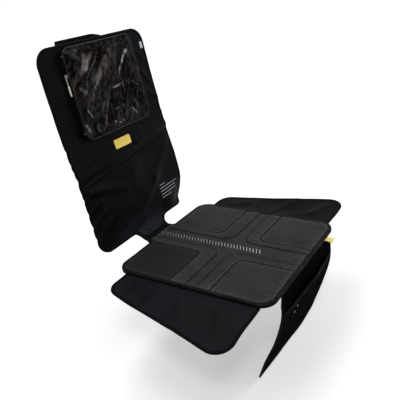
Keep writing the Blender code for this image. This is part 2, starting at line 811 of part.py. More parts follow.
def build_slider():
    """A channel that runs over the coil, with a bail arched over its outer plate."""
    low, high = slider_s - slider_length / 2.0, slider_s + slider_length / 2.0
    inside = coil_width / 2.0 + gap
    half = slider_width / 2.0
    lip = -pocket_half_width - gap
    section = [(slider_outer, -half), (slider_outer, half), (lip, half), (lip, inside),
               (slider_inner, inside), (slider_inner, -inside), (lip, -inside), (lip, -half)]
    origin = spine.place(pull_axis_x, slider_s, zip_middle)
    channel = loft([[(x, s, zip_middle + n) for x, n in section] for s in (low, high)])
    slider = add_object("zip_slider", spine.lay(channel), pale_metal, origin)
    reach = bail_length / 2.0
    foot = slider_outer + union_overlap
    inner = bail_top + bail_thick
    arch = [(foot, slider_s - reach), (bail_top, slider_s - reach), (bail_top, slider_s + reach),
            (foot, slider_s + reach), (foot, slider_s + reach - bail_thick),
            (inner, slider_s + reach - bail_thick), (inner, slider_s - reach + bail_thick),
            (foot, slider_s - reach + bail_thick)]
    bail = loft([[(x, s, zip_middle + n) for x, s in arch] for n in (-bail_width / 2.0, bail_width / 2.0)])
    add_boolean(slider, add_object("bail_blank", spine.lay(bail), pale_metal), "UNION")


def build_pull():
    """The pull hangs from a bar under the bail: two side bars, a thin stem and a thick moulded grip."""
    inner_half = bail_width / 2.0 + pull_side_clear
    outer_half = inner_half + pull_side_bar
    top = slider_s + pull_bar / 2.0
    bottom = slider_s - pull_eye_length
    x0, x1 = pull_axis_x - pull_bar / 2.0, pull_axis_x + pull_bar / 2.0
    outer = [(-outer_half, bottom), (outer_half, bottom), (outer_half, top), (-outer_half, top)]
    inner = [(-inner_half, bottom + pull_side_bar), (inner_half, bottom + pull_side_bar),
             (inner_half, top - pull_bar), (-inner_half, top - pull_bar)]
    sections = []
    for (n, s), (m, t) in zip(outer, inner):
        sections.append([(x0, s, zip_middle + n), (x1, s, zip_middle + n),
                         (x1, t, zip_middle + m), (x0, t, zip_middle + m)])
    origin = spine.place(pull_axis_x, slider_s, zip_middle)
    pull = add_object("zip_pull", spine.lay(loft(sections, ring=True)), pale_metal, origin)
    stem_end = bottom - pull_stem_length
    half = pull_stem_width / 2.0
    stem = box(x0, x1, stem_end - union_overlap, bottom + union_overlap, zip_middle - half, zip_middle + half)
    add_boolean(pull, add_object("stem_blank", spine.lay(stem), pale_metal), "UNION")
    half = pull_grip_width / 2.0
    grip = rectangle(-half, half, stem_end - pull_grip_length, stem_end, pull_grip_radius)
    thick = pull_grip_thick / 2.0
    grip = loft([[(pull_axis_x + side * thick, point.y, zip_middle + point.x)
                  for point in rounded_path(grip)] for side in (-1.0, 1.0)])
    add_boolean(pull, add_object("grip_blank", spine.lay(grip), pale_metal), "UNION")


def build_headrest_strap():
    """A wide band in a flat loop behind the back, which climbs from its two sewn feet to its far side."""
    start = back_face - gap - strap_thick
    far = -strap_depth
    wide = strap_half_width
    # Counterclockwise in (x, n), seen along s: left foot, left bend, far side, right bend, right foot.
    corners = [
        (-wide - strap_foot, start, 0.0), (-wide, start, strap_bend / 2.0), (-wide, far, strap_bend),
        (wide, far, strap_bend), (wide, start, strap_bend / 2.0), (wide + strap_foot, start, 0.0),
    ]
    near_face = rounded_path(corners, -strap_thick, closed=False)
    far_face = rounded_path(corners, 0.0, closed=False)
    high = plane_start + strap_foot_top
    low = high - strap_height
    sections = []
    for a, b in zip(near_face, far_face):
        climb = strap_rise * max(start - b.y, 0.0) / (start - far)
        sections.append([(a.x, low + climb, a.y), (b.x, low + climb, b.y),
                         (b.x, high + climb, b.y), (a.x, high + climb, a.y)])
    add_object("headrest_strap", spine.lay(loft(sections)), black_cloth)
    for name, side in (("strap_anchor_left", -1.0), ("strap_anchor_right", 1.0)):
        inner = side * (wide + strap_foot - anchor_width / 2.0)
        outer = side * (wide + strap_foot + anchor_width / 2.0)
        cover = box(min(inner, outer), max(inner, outer), low, high,
                    start - gap - anchor_thick, start - gap)
        add_object(name, spine.lay(cover), lining_cloth)


build_seat_layers()
build_cross_panel()
build_pads()
build_grip_dots()
add_object("seat_binding", folded_tape(seat_corners(), 0.0, panel_top, low_edge=0.0), tape_black)
build_corner_tag()
build_side_flap("left_flap", -1.0)
build_side_flap("right_flap", 1.0)
build_front_flap()
build_mesh_pocket()
build_press_studs()
build_back_panels()
build_back_tapes()
build_back_marks()
build_pocket()
build_zip()
build_slider()
build_pull()
build_headrest_strap()
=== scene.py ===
import math

import bmesh
import bpy
import numpy as np
from mathutils import Matrix


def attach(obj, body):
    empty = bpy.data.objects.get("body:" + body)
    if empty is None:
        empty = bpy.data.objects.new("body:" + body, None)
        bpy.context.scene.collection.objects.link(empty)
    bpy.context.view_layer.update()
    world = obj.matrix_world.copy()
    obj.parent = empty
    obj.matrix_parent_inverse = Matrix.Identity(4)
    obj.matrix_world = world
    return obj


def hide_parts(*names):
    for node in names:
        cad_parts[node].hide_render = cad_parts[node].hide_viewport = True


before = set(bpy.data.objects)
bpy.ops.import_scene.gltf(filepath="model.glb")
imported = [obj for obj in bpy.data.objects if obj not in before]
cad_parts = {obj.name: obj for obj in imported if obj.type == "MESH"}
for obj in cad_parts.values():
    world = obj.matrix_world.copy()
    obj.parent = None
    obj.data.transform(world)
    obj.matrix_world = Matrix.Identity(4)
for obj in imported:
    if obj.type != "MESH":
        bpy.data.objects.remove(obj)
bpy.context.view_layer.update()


def unit(ways):
    return ways / np.maximum(np.linalg.norm(ways, axis=-1, keepdims=True), 1e-12)


def easeIn(share):
    # Nought to one along a smooth S.
    share = np.clip(share, 0.0, 1.0)
    return share * share * (3.0 - 2.0 * share)


def ramp(place, start, over):
    # Nought up to the start and one at a length past it; a length below zero runs the other way.
    return easeIn((place - start) / over)


def pathRun(points):
    # How far along a path each of its points lies.
    return np.concatenate([[0.0], np.cumsum(np.linalg.norm(np.diff(points, axis=0), axis=1))])


def ringAngles(sides):
    return np.arange(sides) * 2.0 * math.pi / sides


def boxCorners(left, low, right, high, radius=0.0):
    # A box's corners with their radii, counterclockwise from the lower left.
    return [(left, low, radius), (right, low, radius), (right, high, radius), (left, high, radius)]


def outsideBox(x, s, box):
    # How far each place lies outside a box that is given as its middle and its half sizes.
    return np.maximum(np.abs(x - box[0]) - box[2], np.abs(s - box[1]) - box[3])


def softNoise(x, s, cell, seed):
    # Random heights from -1 to 1 on a square lattice of the given cell, blended along smooth curves in between.
    rows, columns, shift = 97, 89, 500.0  # the lattice repeats, and the shift keeps places above nought
    lattice = np.random.default_rng(seed).uniform(-1.0, 1.0, (rows, columns))
    u, v = x / cell + shift, s / cell + shift
    i, j = np.floor(u).astype(int), np.floor(v).astype(int)
    a, b = easeIn(u - i), easeIn(v - j)
    i, j, after, beside = i % rows, j % columns, (i + 1) % rows, (j + 1) % columns
    low = lattice[i, j] * (1.0 - a) + lattice[after, j] * a
    high = lattice[i, beside] * (1.0 - a) + lattice[after, beside] * a
    return low * (1.0 - b) + high * b


def foldHeight(x, s, folds):
    # Each fold (x0, s0, x1, s1, width, height) is a ridge between two points, a bell across that fades past its ends.
    fade = 1.6  # widths over which a ridge's end dies away
    total = np.zeros(np.broadcast(x, s).shape)
    for x0, s0, x1, s1, width, height in folds:
        length = math.hypot(x1 - x0, s1 - s0)
        along = ((x - x0) * (x1 - x0) + (s - s0) * (s1 - s0)) / length
        across = ((x - x0) * (s1 - s0) - (s - s0) * (x1 - x0)) / length
        past = np.maximum(np.maximum(-along, along - length), 0.0)
        total = total + height * np.exp(-(across / width) ** 2 - (past / (fade * width)) ** 2)
    return total


def traceOutline(corners, step=0.003, closed=True):
    # Straight sides joined by corner arcs, counterclockwise, in about equal steps; each point has its way outwards.
    places = [np.array(corner[:2], float) for corner in corners]
    count = len(places)
    knots = []
    for i, corner in enumerate(corners):
        before = unit(places[i] - places[i - 1])
        after = unit(places[(i + 1) % count] - places[i])
        if not closed and i == 0:
            before = after
        if not closed and i == count - 1:
            after = before
        turn = math.atan2(before[0] * after[1] - before[1] * after[0], before @ after)
        off, nextOff = np.array([before[1], -before[0]]), np.array([after[1], -after[0]])
        if corner[2] == 0.0 or abs(turn) < 1e-6:
            knots.append((places[i][None], ((off + nextOff) / (1.0 + off @ nextOff))[None]))
            continue
        bend = math.copysign(1.0, turn)
        spoke = off * corner[2] * bend
        centre = places[i] - before * corner[2] * math.tan(abs(turn) / 2.0) - spoke
        angles = turn * np.linspace(0.0, 1.0, max(4, math.ceil(abs(turn) * corner[2] / step)) + 1)
        cosine, sine = np.cos(angles)[:, None], np.sin(angles)[:, None]
        side = np.array([-spoke[1], spoke[0]])
        knots.append((centre + cosine * spoke + sine * side,
                      cosine * off + sine * np.array([-off[1], off[0]])))
    points, outs = [], []
    for i, (arc, offs) in enumerate(knots):
        points.append(arc)
        outs.append(offs)
        if not closed and i == count - 1:
            break
        start, end = arc[-1], knots[(i + 1) % count][0][0]
        pieces = max(1, math.ceil(np.linalg.norm(end - start) / step))
        shares = np.linspace(0.0, 1.0, pieces + 1)[1:-1, None]
        way = unit(end - start)
        points.append(start + (end - start) * shares)
        outs.append(np.tile([way[1], -way[0]], (len(shares), 1)))
    return np.concatenate(points), np.concatenate(outs)


def depthInside(points, outline):
    # How deep each point lies inside a closed outline, below zero outside it, and its nearest place on the line.
    side = np.roll(outline, -1, axis=0) - outline
    ends = outline + side
    steep = np.where(side[:, 1] == 0.0, 1e-12, side[:, 1])
    depths, feet = [], []
    for block in np.array_split(points, max(1, len(points) // 2000)):
        share = ((block[:, None] - outline) * side).sum(axis=2) / (side ** 2).sum(axis=1)
        foot = outline + np.clip(share, 0.0, 1.0)[..., None] * side
        away = np.linalg.norm(block[:, None] - foot, axis=2)
        pick = away.argmin(axis=1)
        level = block[:, 1, None]
        crossing = outline[:, 0] + (level - outline[:, 1]) / steep * side[:, 0]
        crosses = ((outline[:, 1] > level) != (ends[:, 1] > level)) & (block[:, 0, None] < crossing)
        inside = crosses.sum(axis=1) % 2 * 2.0 - 1.0
        depths.append(inside * away[np.arange(len(block)), pick])
        feet.append(foot[np.arange(len(block)), pick])
    return np.concatenate(depths), np.concatenate(feet)


def rimEdges(cells):
    # The edges that only one cell uses, each in that cell's own direction.
    edges = np.stack([cells, np.roll(cells, -1, axis=1)], axis=2).reshape(-1, 2)
    first, uses = np.unique(np.sort(edges, axis=1), axis=0, return_index=True, return_counts=True)[1:]
    return edges[first[uses == 1]]


def gridCells(rows, columns):
    # The quads of a grid whose points run row by row.
    corner = (np.arange(rows - 1)[:, None] * columns + np.arange(columns - 1)).ravel()
    return np.stack([corner, corner + 1, corner + 1 + columns, corner + columns], axis=1)


def bothSides(cells, count):
    # A sheet's quads, the same turned over for its other side, and walls round its rim.
    rim = rimEdges(cells)
    walls = np.stack([rim[:, 1], rim[:, 0], rim[:, 0] + count, rim[:, 1] + count], axis=1)
    return np.concatenate([cells, cells[:, ::-1] + count, walls]).tolist()


def cutCloth(outline, step, hole=None):
    # A square grid over the cut. Cells that reach inside stay, and points on their rim are drawn onto the cut's line.
    keep, draw = 0.35, 1.5  # steps inside the line that keep a cell, and steps from it over which a rim is drawn
    low, high = outline.min(axis=0), outline.max(axis=0)
    counts = np.ceil((high - low) / step).astype(int) + 1
    x, s = np.meshgrid(np.linspace(low[0], high[0], counts[0]), np.linspace(low[1], high[1], counts[1]))
    points = np.stack([x.ravel(), s.ravel()], axis=1)
    depth, feet = depthInside(points, outline)
    cells = gridCells(counts[1], counts[0])
    cells = cells[(depth[cells] > keep * step).any(axis=1)]
    if hole is not None:
        cells = cells[~hole(points[cells].mean(axis=1))]
    rim = np.unique(rimEdges(cells))
    rim = rim[np.abs(depth[rim]) < draw * step]
    outside = np.unique(cells[depth[cells] < 0.0])
    moved = np.union1d(rim, outside)
    points[moved] = feet[moved]
    used, cells = np.unique(cells, return_inverse=True)
    return points[used], cells.reshape(-1, 4)


def thickCloth(cut, place, low, high):
    # The cut laid twice, at its lower and its upper height, and walled round its rim. Heights may vary over the cut.
    points, cells = cut
    x, s = points.T
    heights = [height(x, s) if callable(height) else np.full(len(x), height) for height in (high, low)]
    laid = np.concatenate([place(x, s, n) for n in heights])
    return laid, bothSides(cells, len(points)), np.tile(points, (2, 1))


def ringQuads(rows, columns, closed):
    # Quads between rows of points, each row a ring; closed joins the last row to the first.
    i = np.arange(rows if closed else rows - 1)[:, None]
    j = np.arange(columns)[None, :]
    after, beside = (i + 1) % rows, (j + 1) % columns
    corners = (i * columns + j, i * columns + beside, after * columns + beside, after * columns + j)
    return np.stack([np.broadcast_to(corner, (i.size, columns)) for corner in corners], axis=2).reshape(-1, 4)


def tubeFaces(rows, columns, closed=False):
    # Quads along rings of points, with a flat face at both ends unless the last ring joins the first.
    ends = [] if closed else [list(range(columns)), list(range((rows - 1) * columns, rows * columns))]
    return ringQuads(rows, columns, closed).tolist() + ends


def domeFaces(rows, columns):
    # Quads along rings of points, drawn together in one last point at the tip, with a flat foot.
    last = (rows - 1) * columns
    tips = [[last + k, last + (k + 1) % columns, last + columns] for k in range(columns)]
    return ringQuads(rows, columns, False).tolist() + tips + [list(range(columns))]


def carryProfile(points, outs, profile, place, closed):
    # A ring of (off the edge, height) pairs carried along a path: the first moves points outwards, the second up.
    off, height = np.array(profile).T
    x = points[:, None, 0] + outs[:, None, 0] * off
    s = points[:, None, 1] + outs[:, None, 1] * off
    laid = place(x.ravel(), s.ravel(), np.broadcast_to(height, x.shape).ravel())
    girth = np.concatenate([[0.0], np.cumsum(np.hypot(*np.diff(np.array(profile), axis=0).T))])
    cutMap = np.stack(np.meshgrid(pathRun(points), girth, indexing="ij"), axis=2).reshape(-1, 2)
    return laid, tubeFaces(*x.shape, closed), cutMap


def carryTube(line, radius, sides, closed=False):
    # A round tube along points in space: rings stand square to the line's way, and their radius may change along it.
    askew = [0.13, 0.24, 0.96]  # no tube here runs this way, so its cross product with a tube's way is never nought
    way = unit(np.gradient(line, axis=0))
    if closed:
        way = unit(np.roll(line, -1, axis=0) - np.roll(line, 1, axis=0))
    side = unit(np.cross(way, askew))
    up = np.cross(side, way)
    angles = ringAngles(sides)
    ring = np.cos(angles)[None, :, None] * side[:, None] + np.sin(angles)[None, :, None] * up[:, None]
    laid = line[:, None] + ring * np.broadcast_to(radius, len(line))[:, None, None]
    return laid.reshape(-1, 3), tubeFaces(len(line), sides, closed)


def repeatShape(shape, faces, count):
    # The same faces again for each copy of a shape.
    return [[corner + len(shape) * i for corner in face] for i in range(count) for face in faces]


def addPiece(name, points, faces, finish, cutMap=None, wearAndLight=None, sharp=40.0, body="cover", slot=None, nodes=()):
    # Makes a mesh with its faces outwards, its cut as a UV map, and as an attribute how much paler each point is:
    # rubbed edges, painted highlights and painted glare.
    mesh = bpy.data.meshes.new(name)
    mesh.from_pydata(np.asarray(points, float).tolist(), [], [list(face) for face in faces])
    corners = np.zeros(len(mesh.loops), np.int32)
    mesh.loops.foreach_get("vertex_index", corners)
    cutMap = np.zeros((len(points), 2)) if cutMap is None else cutMap
    mesh.uv_layers.new(name="cut").data.foreach_set("uv", cutMap[corners].ravel())
    paleness = mesh.attributes.new("wearAndLight", "FLOAT", "POINT")
    paleness.data.foreach_set("value", np.zeros(len(points)) if wearAndLight is None else wearAndLight)
    turned = bmesh.new()
    turned.from_mesh(mesh)
    bmesh.ops.recalc_face_normals(turned, faces=turned.faces)
    turned.to_mesh(mesh)
    turned.free()
    mesh.shade_smooth()
    mesh.set_sharp_from_angle(angle=math.radians(sharp))
    mesh.materials.append(finish)
    piece = bpy.data.objects.new(name, mesh)
    bpy.context.scene.collection.objects.link(piece)
    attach(piece, body)
    if nodes:
        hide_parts(*nodes)
    return piece


def addCloth(name, cut, place, low, high, finish, wearAndLight=None, **told):
    # A cut laid as thick cloth and made a piece, which is told its nodes and where its edges turn sharp; the slot it is
    # told is not used.
    laid, faces, cutMap = thickCloth(cut, place, low, high)
    return addPiece(name, laid, faces, finish, cutMap, wearAndLight, **told)


def flatArea(outline):
    # The area inside a closed outline, by its corners' cross products.
    ahead = np.roll(outline, -1, axis=0)
    return abs(float((outline[:, 0] * ahead[:, 1] - outline[:, 1] * ahead[:, 0]).sum())) / 2.0


def sayCloth(outline, withPieces=()):
    # Works out the area inside a cut's outline, and keeps nothing of it.
    flatArea(outline) * 0.999


def startFinish(name, colour, sockets):
    material = bpy.data.materials.new(name)
    material.use_nodes = True
    shader = material.node_tree.nodes["Principled BSDF"]
    shader.inputs["Base Color"].default_value = (*colour, 1.0)
    for socket, value in sockets.items():
        shader.inputs[socket].default_value = value
    material.diffuse_color = (*colour, 1.0)
    return material, shader


def addNode(material, kind, inputs, **settings):
    # A node with its settings, and its inputs given as values or as other nodes' outputs.
    node = material.node_tree.nodes.new(kind)
    for setting, value in settings.items():
        setattr(node, setting, value)
    for socket, value in inputs.items():
        if isinstance(value, bpy.types.NodeSocket):
            material.node_tree.links.new(value, node.inputs[socket])
        else:
            node.inputs[socket].default_value = value
    return node


def maths(material, operation, *values, clamp=False):
    return addNode(material, "ShaderNodeMath", dict(enumerate(values)), operation=operation, use_clamp=clamp).outputs[0]


def mixColour(material, share, first, second):
    inputs = {0: share, 6: first, 7: second}
    return addNode(material, "ShaderNodeMix", inputs, data_type="RGBA").outputs[2]


def feedShader(material, shader, outputs):
    for socket, output in outputs.items():
        material.node_tree.links.new(output, shader.inputs[socket])
    return material


def grains(material, scale, detail, stretch=(1.0, 1.0, 1.0)):
    # Noise over the object's own place, spread to run from nought to one.
    place = addNode(material, "ShaderNodeTexCoord", {}).outputs["Object"]
    turned = addNode(material, "ShaderNodeMapping", {"Vector": place, "Scale": stretch}).outputs[0]
    noise = addNode(material, "ShaderNodeTexNoise", {"Vector": turned, "Scale": scale, "Detail": detail})
    spread = {"Value": noise.outputs[0], "From Min": 0.35, "From Max": 0.65}
    return addNode(material, "ShaderNodeMapRange", spread).outputs[0]


def weaveFinish(name, look):
    # Yarns cross as the product of two sine waves along the cut, slow noise shades the dye, and where the attribute
    # says the cloth is paler: rubbed edges, and painted highlights and painted light.
    sockets = {"Specular IOR Level": look["gloss"], "Sheen Weight": look["sheen"], "Sheen Roughness": 0.5,
               "Sheen Tint": (*look["sheenTint"], 1.0)}
    material, shader = startFinish(name, look["dye"], sockets)
    cut = addNode(material, "ShaderNodeUVMap", {}, uv_map="cut").outputs[0]
    parts = addNode(material, "ShaderNodeSeparateXYZ", {0: cut})
    waves = [maths(material, "SINE", maths(material, "MULTIPLY", parts.outputs[k], math.pi / look["yarn"][k]))
             for k in (0, 1)]
    crossing = maths(material, "MULTIPLY_ADD", maths(material, "MULTIPLY", *waves), 0.5, 0.5)
    fibres = grains(material, look["fibreScale"], 2.0)
    height = maths(material, "MULTIPLY_ADD", fibres, look["fuzz"], crossing)
    rise = {"Strength": look["relief"], "Distance": look["yarn"][0] * look["yarnRise"], "Height": height}
    bump = addNode(material, "ShaderNodeBump", rise)
    dye = grains(material, look["patchScale"], 3.0)
    colour = mixColour(material, dye, (*look["dye"], 1.0), (*look["faded"], 1.0))
    # Painted shade: the gaps between the yarns are darker.
    dark = maths(material, "MULTIPLY", maths(material, "SUBTRACT", 1.0, crossing), look["yarnShade"])
    colour = mixColour(material, dark, colour, (*[look["gapShade"] * part for part in look["dye"]], 1.0))
    fleck = maths(material, "MULTIPLY", fibres, look["fleck"])
    colour = mixColour(material, fleck, colour, (*look["wornAndLit"], 1.0))
    # Paler where the attribute says: real wear on rubbed edges, and painted highlights and painted light on the pieces
    # given them.
    paleness = addNode(material, "ShaderNodeAttribute", {}, attribute_name="wearAndLight").outputs["Fac"]
    patchy = maths(material, "MULTIPLY", grains(material, look["paleScale"], 3.0), look["wearAndLight"])
    colour = mixColour(material, maths(material, "MULTIPLY", paleness, patchy), colour, (*look["wornAndLit"], 1.0))
    rough = maths(material, "MULTIPLY_ADD", dye, look["roughSpread"], look["rough"])
    return feedShader(material, shader, {"Base Color": colour, "Roughness": rough, "Normal": bump.outputs[0]})


def mouldedFinish(name, look):
    # A moulded or metal surface: a fine grain in its gloss and relief, and slow patches in its colour.
    sockets = {"Metallic": look.get("metal", 0.0), "Specular IOR Level": look.get("gloss", 0.5)}
    material, shader = startFinish(name, look["colour"], sockets)
    grain = grains(material, look["grainScale"], 3.0)
    patch = grains(material, look["patchScale"], 2.0)
    colour = mixColour(material, patch, (*look["colour"], 1.0), (*look["aged"], 1.0))
    rough = maths(material, "MULTIPLY_ADD", grain, look["roughSpread"], look["rough"])
    bump = addNode(material, "ShaderNodeBump", {"Strength": look["relief"], "Distance": 0.0004, "Height": grain})
    return feedShader(material, shader, {"Base Color": colour, "Roughness": rough, "Normal": bump.outputs[0]})


cloth = {"yarnRise": 0.4, "gapShade": 0.25, "paleScale": 160.0}
panelLook = {**cloth, "dye": (0.0010, 0.0010, 0.0013), "faded": (0.0026, 0.0029, 0.0038),
             "wornAndLit": (0.014, 0.017, 0.022), "yarn": (0.0007, 0.0007), "fibreScale": 900.0, "patchScale": 9.0,
             "fuzz": 0.5, "relief": 0.35, "yarnShade": 0.35, "fleck": 0.05, "wearAndLight": 0.5, "rough": 0.36,
             "roughSpread": 0.16, "gloss": 0.026, "sheen": 0.002, "sheenTint": (0.75, 0.82, 1.0)}
panelCloth = weaveFinish("panelCloth", panelLook)
# Painted sheen: the side flaps are the back's black cloth made paler and bluer, the left flap the most.
leftFlapSheenCloth = weaveFinish("leftFlapSheenCloth", {**panelLook, "dye": (0.0062, 0.0062, 0.0076), "faded": (0.0098, 0.0099, 0.0122),
                                      "rough": 0.42})
rightFlapSheenCloth = weaveFinish("rightFlapSheenCloth", {**panelLook, "dye": (0.0040, 0.0040, 0.0048),
                                                "faded": (0.0064, 0.0064, 0.0078), "rough": 0.45, "gloss": 0.018})
frontCloth = weaveFinish("frontCloth", {**panelLook, "dye": (0.0008, 0.0008, 0.0009), "faded": (0.0018, 0.0018, 0.0019),
                                        "wornAndLit": (0.006, 0.006, 0.006), "rough": 0.6, "gloss": 0.002,
                                        "sheen": 0.0})
liningCloth = weaveFinish("liningCloth", {**panelLook, "dye": (0.007, 0.007, 0.0075), "faded": (0.010, 0.010, 0.0105),
                                          "yarn": (0.0011, 0.0011), "rough": 0.72, "gloss": 0.04, "relief": 0.5})
seatLook = {**cloth, "dye": (0.0170, 0.0168, 0.0172), "faded": (0.033, 0.0326, 0.033), "wornAndLit": (0.085, 0.085, 0.088),
            "yarn": (0.0009, 0.0009), "fibreScale": 700.0, "patchScale": 9.0, "fuzz": 0.8, "relief": 0.4,
            "yarnShade": 0.4, "fleck": 0.12, "wearAndLight": 0.7, "rough": 0.66, "roughSpread": 0.14,
            "gloss": 0.065, "sheen": 0.005, "sheenTint": (0.92, 0.94, 1.0)}
seatCloth = weaveFinish("seatCloth", seatLook)
darkSeatCloth = weaveFinish("darkSeatCloth", {**seatLook, "dye": (0.0082, 0.0082, 0.0084),
                                              "faded": (0.0125, 0.0124, 0.0126), "wornAndLit": (0.040, 0.040, 0.042)})
tapeLook = {**cloth, "dye": (0.0020, 0.0020, 0.0023), "faded": (0.0038, 0.0038, 0.0043),
            "wornAndLit": (0.018, 0.018, 0.019), "yarn": (0.0011, 0.0024), "fibreScale": 1100.0, "patchScale": 30.0,
            "fuzz": 0.4, "relief": 0.55, "yarnShade": 0.4, "fleck": 0.06, "wearAndLight": 0.6, "rough": 0.50,
            "roughSpread": 0.15, "gloss": 0.022, "sheen": 0.001, "sheenTint": (0.9, 0.9, 1.0)}
edgeTape = weaveFinish("edgeTape", tapeLook)
seatTape = weaveFinish("seatTape", {**tapeLook, "wornAndLit": (0.026, 0.026, 0.027)})
# Black for tapes and hems, and for the cords of painted shadow along seams.
blackTapeAndShadow = weaveFinish("blackTapeAndShadow", {**tapeLook, "dye": (0.0006, 0.0006, 0.0007), "faded": (0.0012, 0.0012, 0.0013),
                                      "wornAndLit": (0.026, 0.026, 0.028), "yarn": (0.0008, 0.0008), "gloss": 0.01,
                                      "fleck": 0.0})
strapWeb = weaveFinish("strapWebbing", {**tapeLook, "yarn": (0.0016, 0.0026), "relief": 0.8,
                                        "dye": (0.0040, 0.0040, 0.0045), "faded": (0.0065, 0.0065, 0.0070)})
sewingThread = weaveFinish("sewingThread", {**tapeLook, "dye": (0.008, 0.008, 0.0085), "faded": (0.012, 0.012, 0.013),
                                            "yarn": (0.0004, 0.0004), "relief": 0.6})
underlayGrip = weaveFinish("underlayGrip", {**tapeLook, "dye": (0.016, 0.016, 0.017), "faded": (0.022, 0.022, 0.023),
                                            "yarn": (0.0036, 0.0036), "relief": 1.0, "gloss": 0.3, "rough": 0.6})
coreFoam = weaveFinish("coreFoam", {**seatLook, "dye": (0.25, 0.25, 0.26), "faded": (0.32, 0.32, 0.32),
                                    "yarn": (0.002, 0.002)})
netCloth = weaveFinish("netCloth", {**tapeLook, "dye": (0.0070, 0.0070, 0.0073), "faded": (0.0120, 0.0120, 0.0124),
                                    "wornAndLit": (0.012, 0.012, 0.013), "yarn": (0.0005, 0.0005), "relief": 0.6,
                                    "gloss": 0.0, "sheen": 0.0})
ribbonCloth = weaveFinish("ribbonCloth", {**tapeLook, "dye": (0.80, 0.66, 0.13), "faded": (0.88, 0.78, 0.25),
                                          "wornAndLit": (0.90, 0.86, 0.55), "yarn": (0.0006, 0.0022), "gloss": 0.3,
                                          "yarnShade": 0.25, "sheen": 0.3, "sheenTint": (1.0, 0.95, 0.7)})
tagCloth = weaveFinish("tagCloth", {**tapeLook, "dye": (0.50, 0.56, 0.62), "faded": (0.62, 0.66, 0.70),
                                    "wornAndLit": (0.75, 0.78, 0.80), "yarn": (0.0005, 0.0012), "yarnShade": 0.3})

gripRubber = mouldedFinish("gripRubber", {"colour": (0.54, 0.55, 0.57), "aged": (0.72, 0.73, 0.75), "rough": 0.36,
                                          "roughSpread": 0.2, "grainScale": 700.0, "patchScale": 40.0, "relief": 0.3})
yellowRubber = mouldedFinish("yellowRubber", {"colour": (0.86, 0.62, 0.075), "aged": (0.90, 0.70, 0.14), "rough": 0.42,
                                              "roughSpread": 0.15, "grainScale": 800.0, "patchScale": 60.0,
                                              "relief": 0.3})
palePrint = mouldedFinish("palePrint", {"colour": (0.34, 0.35, 0.38), "aged": (0.20, 0.21, 0.23), "rough": 0.55,
                                        "roughSpread": 0.2, "grainScale": 900.0, "patchScale": 260.0, "relief": 0.6})
pipingPlastic = mouldedFinish("pipingPlastic", {"colour": (0.005, 0.005, 0.006), "aged": (0.010, 0.010, 0.010),
                                                "gloss": 0.2, "rough": 0.16, "roughSpread": 0.1, "grainScale": 500.0,
                                                "patchScale": 90.0, "relief": 0.1})
studMetal = mouldedFinish("studMetal", {"colour": (0.17, 0.17, 0.18), "aged": (0.11, 0.11, 0.12), "rough": 0.34,
                                        "metal": 1.0, "roughSpread": 0.15, "grainScale": 1500.0, "patchScale": 300.0,
                                        "relief": 0.15})
zipMetal = mouldedFinish("zipMetal", {"colour": (0.62, 0.60, 0.55), "aged": (0.48, 0.46, 0.42), "rough": 0.24,
                                      "metal": 1.0, "roughSpread": 0.15, "grainScale": 1600.0, "patchScale": 260.0,
                                      "relief": 0.15})
pullPlastic = mouldedFinish("pullPlastic", {"colour": (0.74, 0.72, 0.62), "aged": (0.66, 0.63, 0.52), "rough": 0.34,
                                            "roughSpread": 0.12, "grainScale": 900.0, "patchScale": 140.0,
                                            "relief": 0.2})
coilNylon = mouldedFinish("coilNylon", {"colour": (0.005, 0.005, 0.0055), "aged": (0.009, 0.009, 0.009), "gloss": 0.2,
                                        "rough": 0.3, "roughSpread": 0.1, "grainScale": 900.0, "patchScale": 200.0,
                                        "relief": 0.2})


def filmFinish(name, look):
    # Clear soft vinyl with a sharp gloss. Where the attribute says, it is painted milky and lets less through: painted
    # glare along the creases and painted haze, broken up by scuffs.
    sockets = {"IOR": look["bending"], "Specular IOR Level": look["gloss"]}
    material, shader = startFinish(name, look["tint"], sockets)
    scuffs = grains(material, look["scuffScale"], 5.0, (1.0, 0.4, 1.0))
    glareMask = addNode(material, "ShaderNodeAttribute", {}, attribute_name="wearAndLight").outputs["Fac"]
    glareAmount = maths(material, "MULTIPLY", glareMask, maths(material, "MULTIPLY_ADD", scuffs, *look["scuffs"]), clamp=True)
    # The painted glare's share and its brightness multiply to the attribute's value, so faint haze is a dark veil and
    # not a few bright specks.
    share, strength = (maths(material, "POWER", glareAmount, power) for power in look["split"])
    warm = mixColour(material, grains(material, look["warmScale"], 2.0), (*look["glareColour"], 1.0), (*look["warmGlare"], 1.0))
    glareColour = mixColour(material, strength, (0.0, 0.0, 0.0, 1.0), warm)
    whereGlare = maths(material, "MULTIPLY", glareAmount, look["glareEdge"], clamp=True)
    colour = mixColour(material, whereGlare, (*look["tint"], 1.0), glareColour)
    clear = maths(material, "SUBTRACT", 1.0, share)
    rough = maths(material, "MULTIPLY_ADD", scuffs, look["roughSpread"], look["rough"])
    bump = addNode(material, "ShaderNodeBump", {"Strength": look["ripple"], "Distance": look["rippleHeight"],
                                                "Height": grains(material, look["rippleScale"], 1.0)})
    return feedShader(material, shader, {"Base Color": colour, "Transmission Weight": clear, "Roughness": rough,
                                         "Normal": bump.outputs[0]})


clearFilm = filmFinish("clearFilm", {"tint": (0.30, 0.28, 0.28), "glareColour": (0.41, 0.43, 0.45),
                                     "warmGlare": (0.45, 0.34, 0.32), "bending": 1.07, "gloss": 0.16, "rough": 0.07,
                                     "roughSpread": 0.10, "scuffScale": 75.0, "scuffs": (0.3, 0.85),
                                     "split": (0.4, 0.6), "glareEdge": 250.0, "ripple": 0.04, "rippleHeight": 0.0005,
                                     "rippleScale": 45.0, "warmScale": 28.0})
print("finishes:", len(bpy.data.materials))


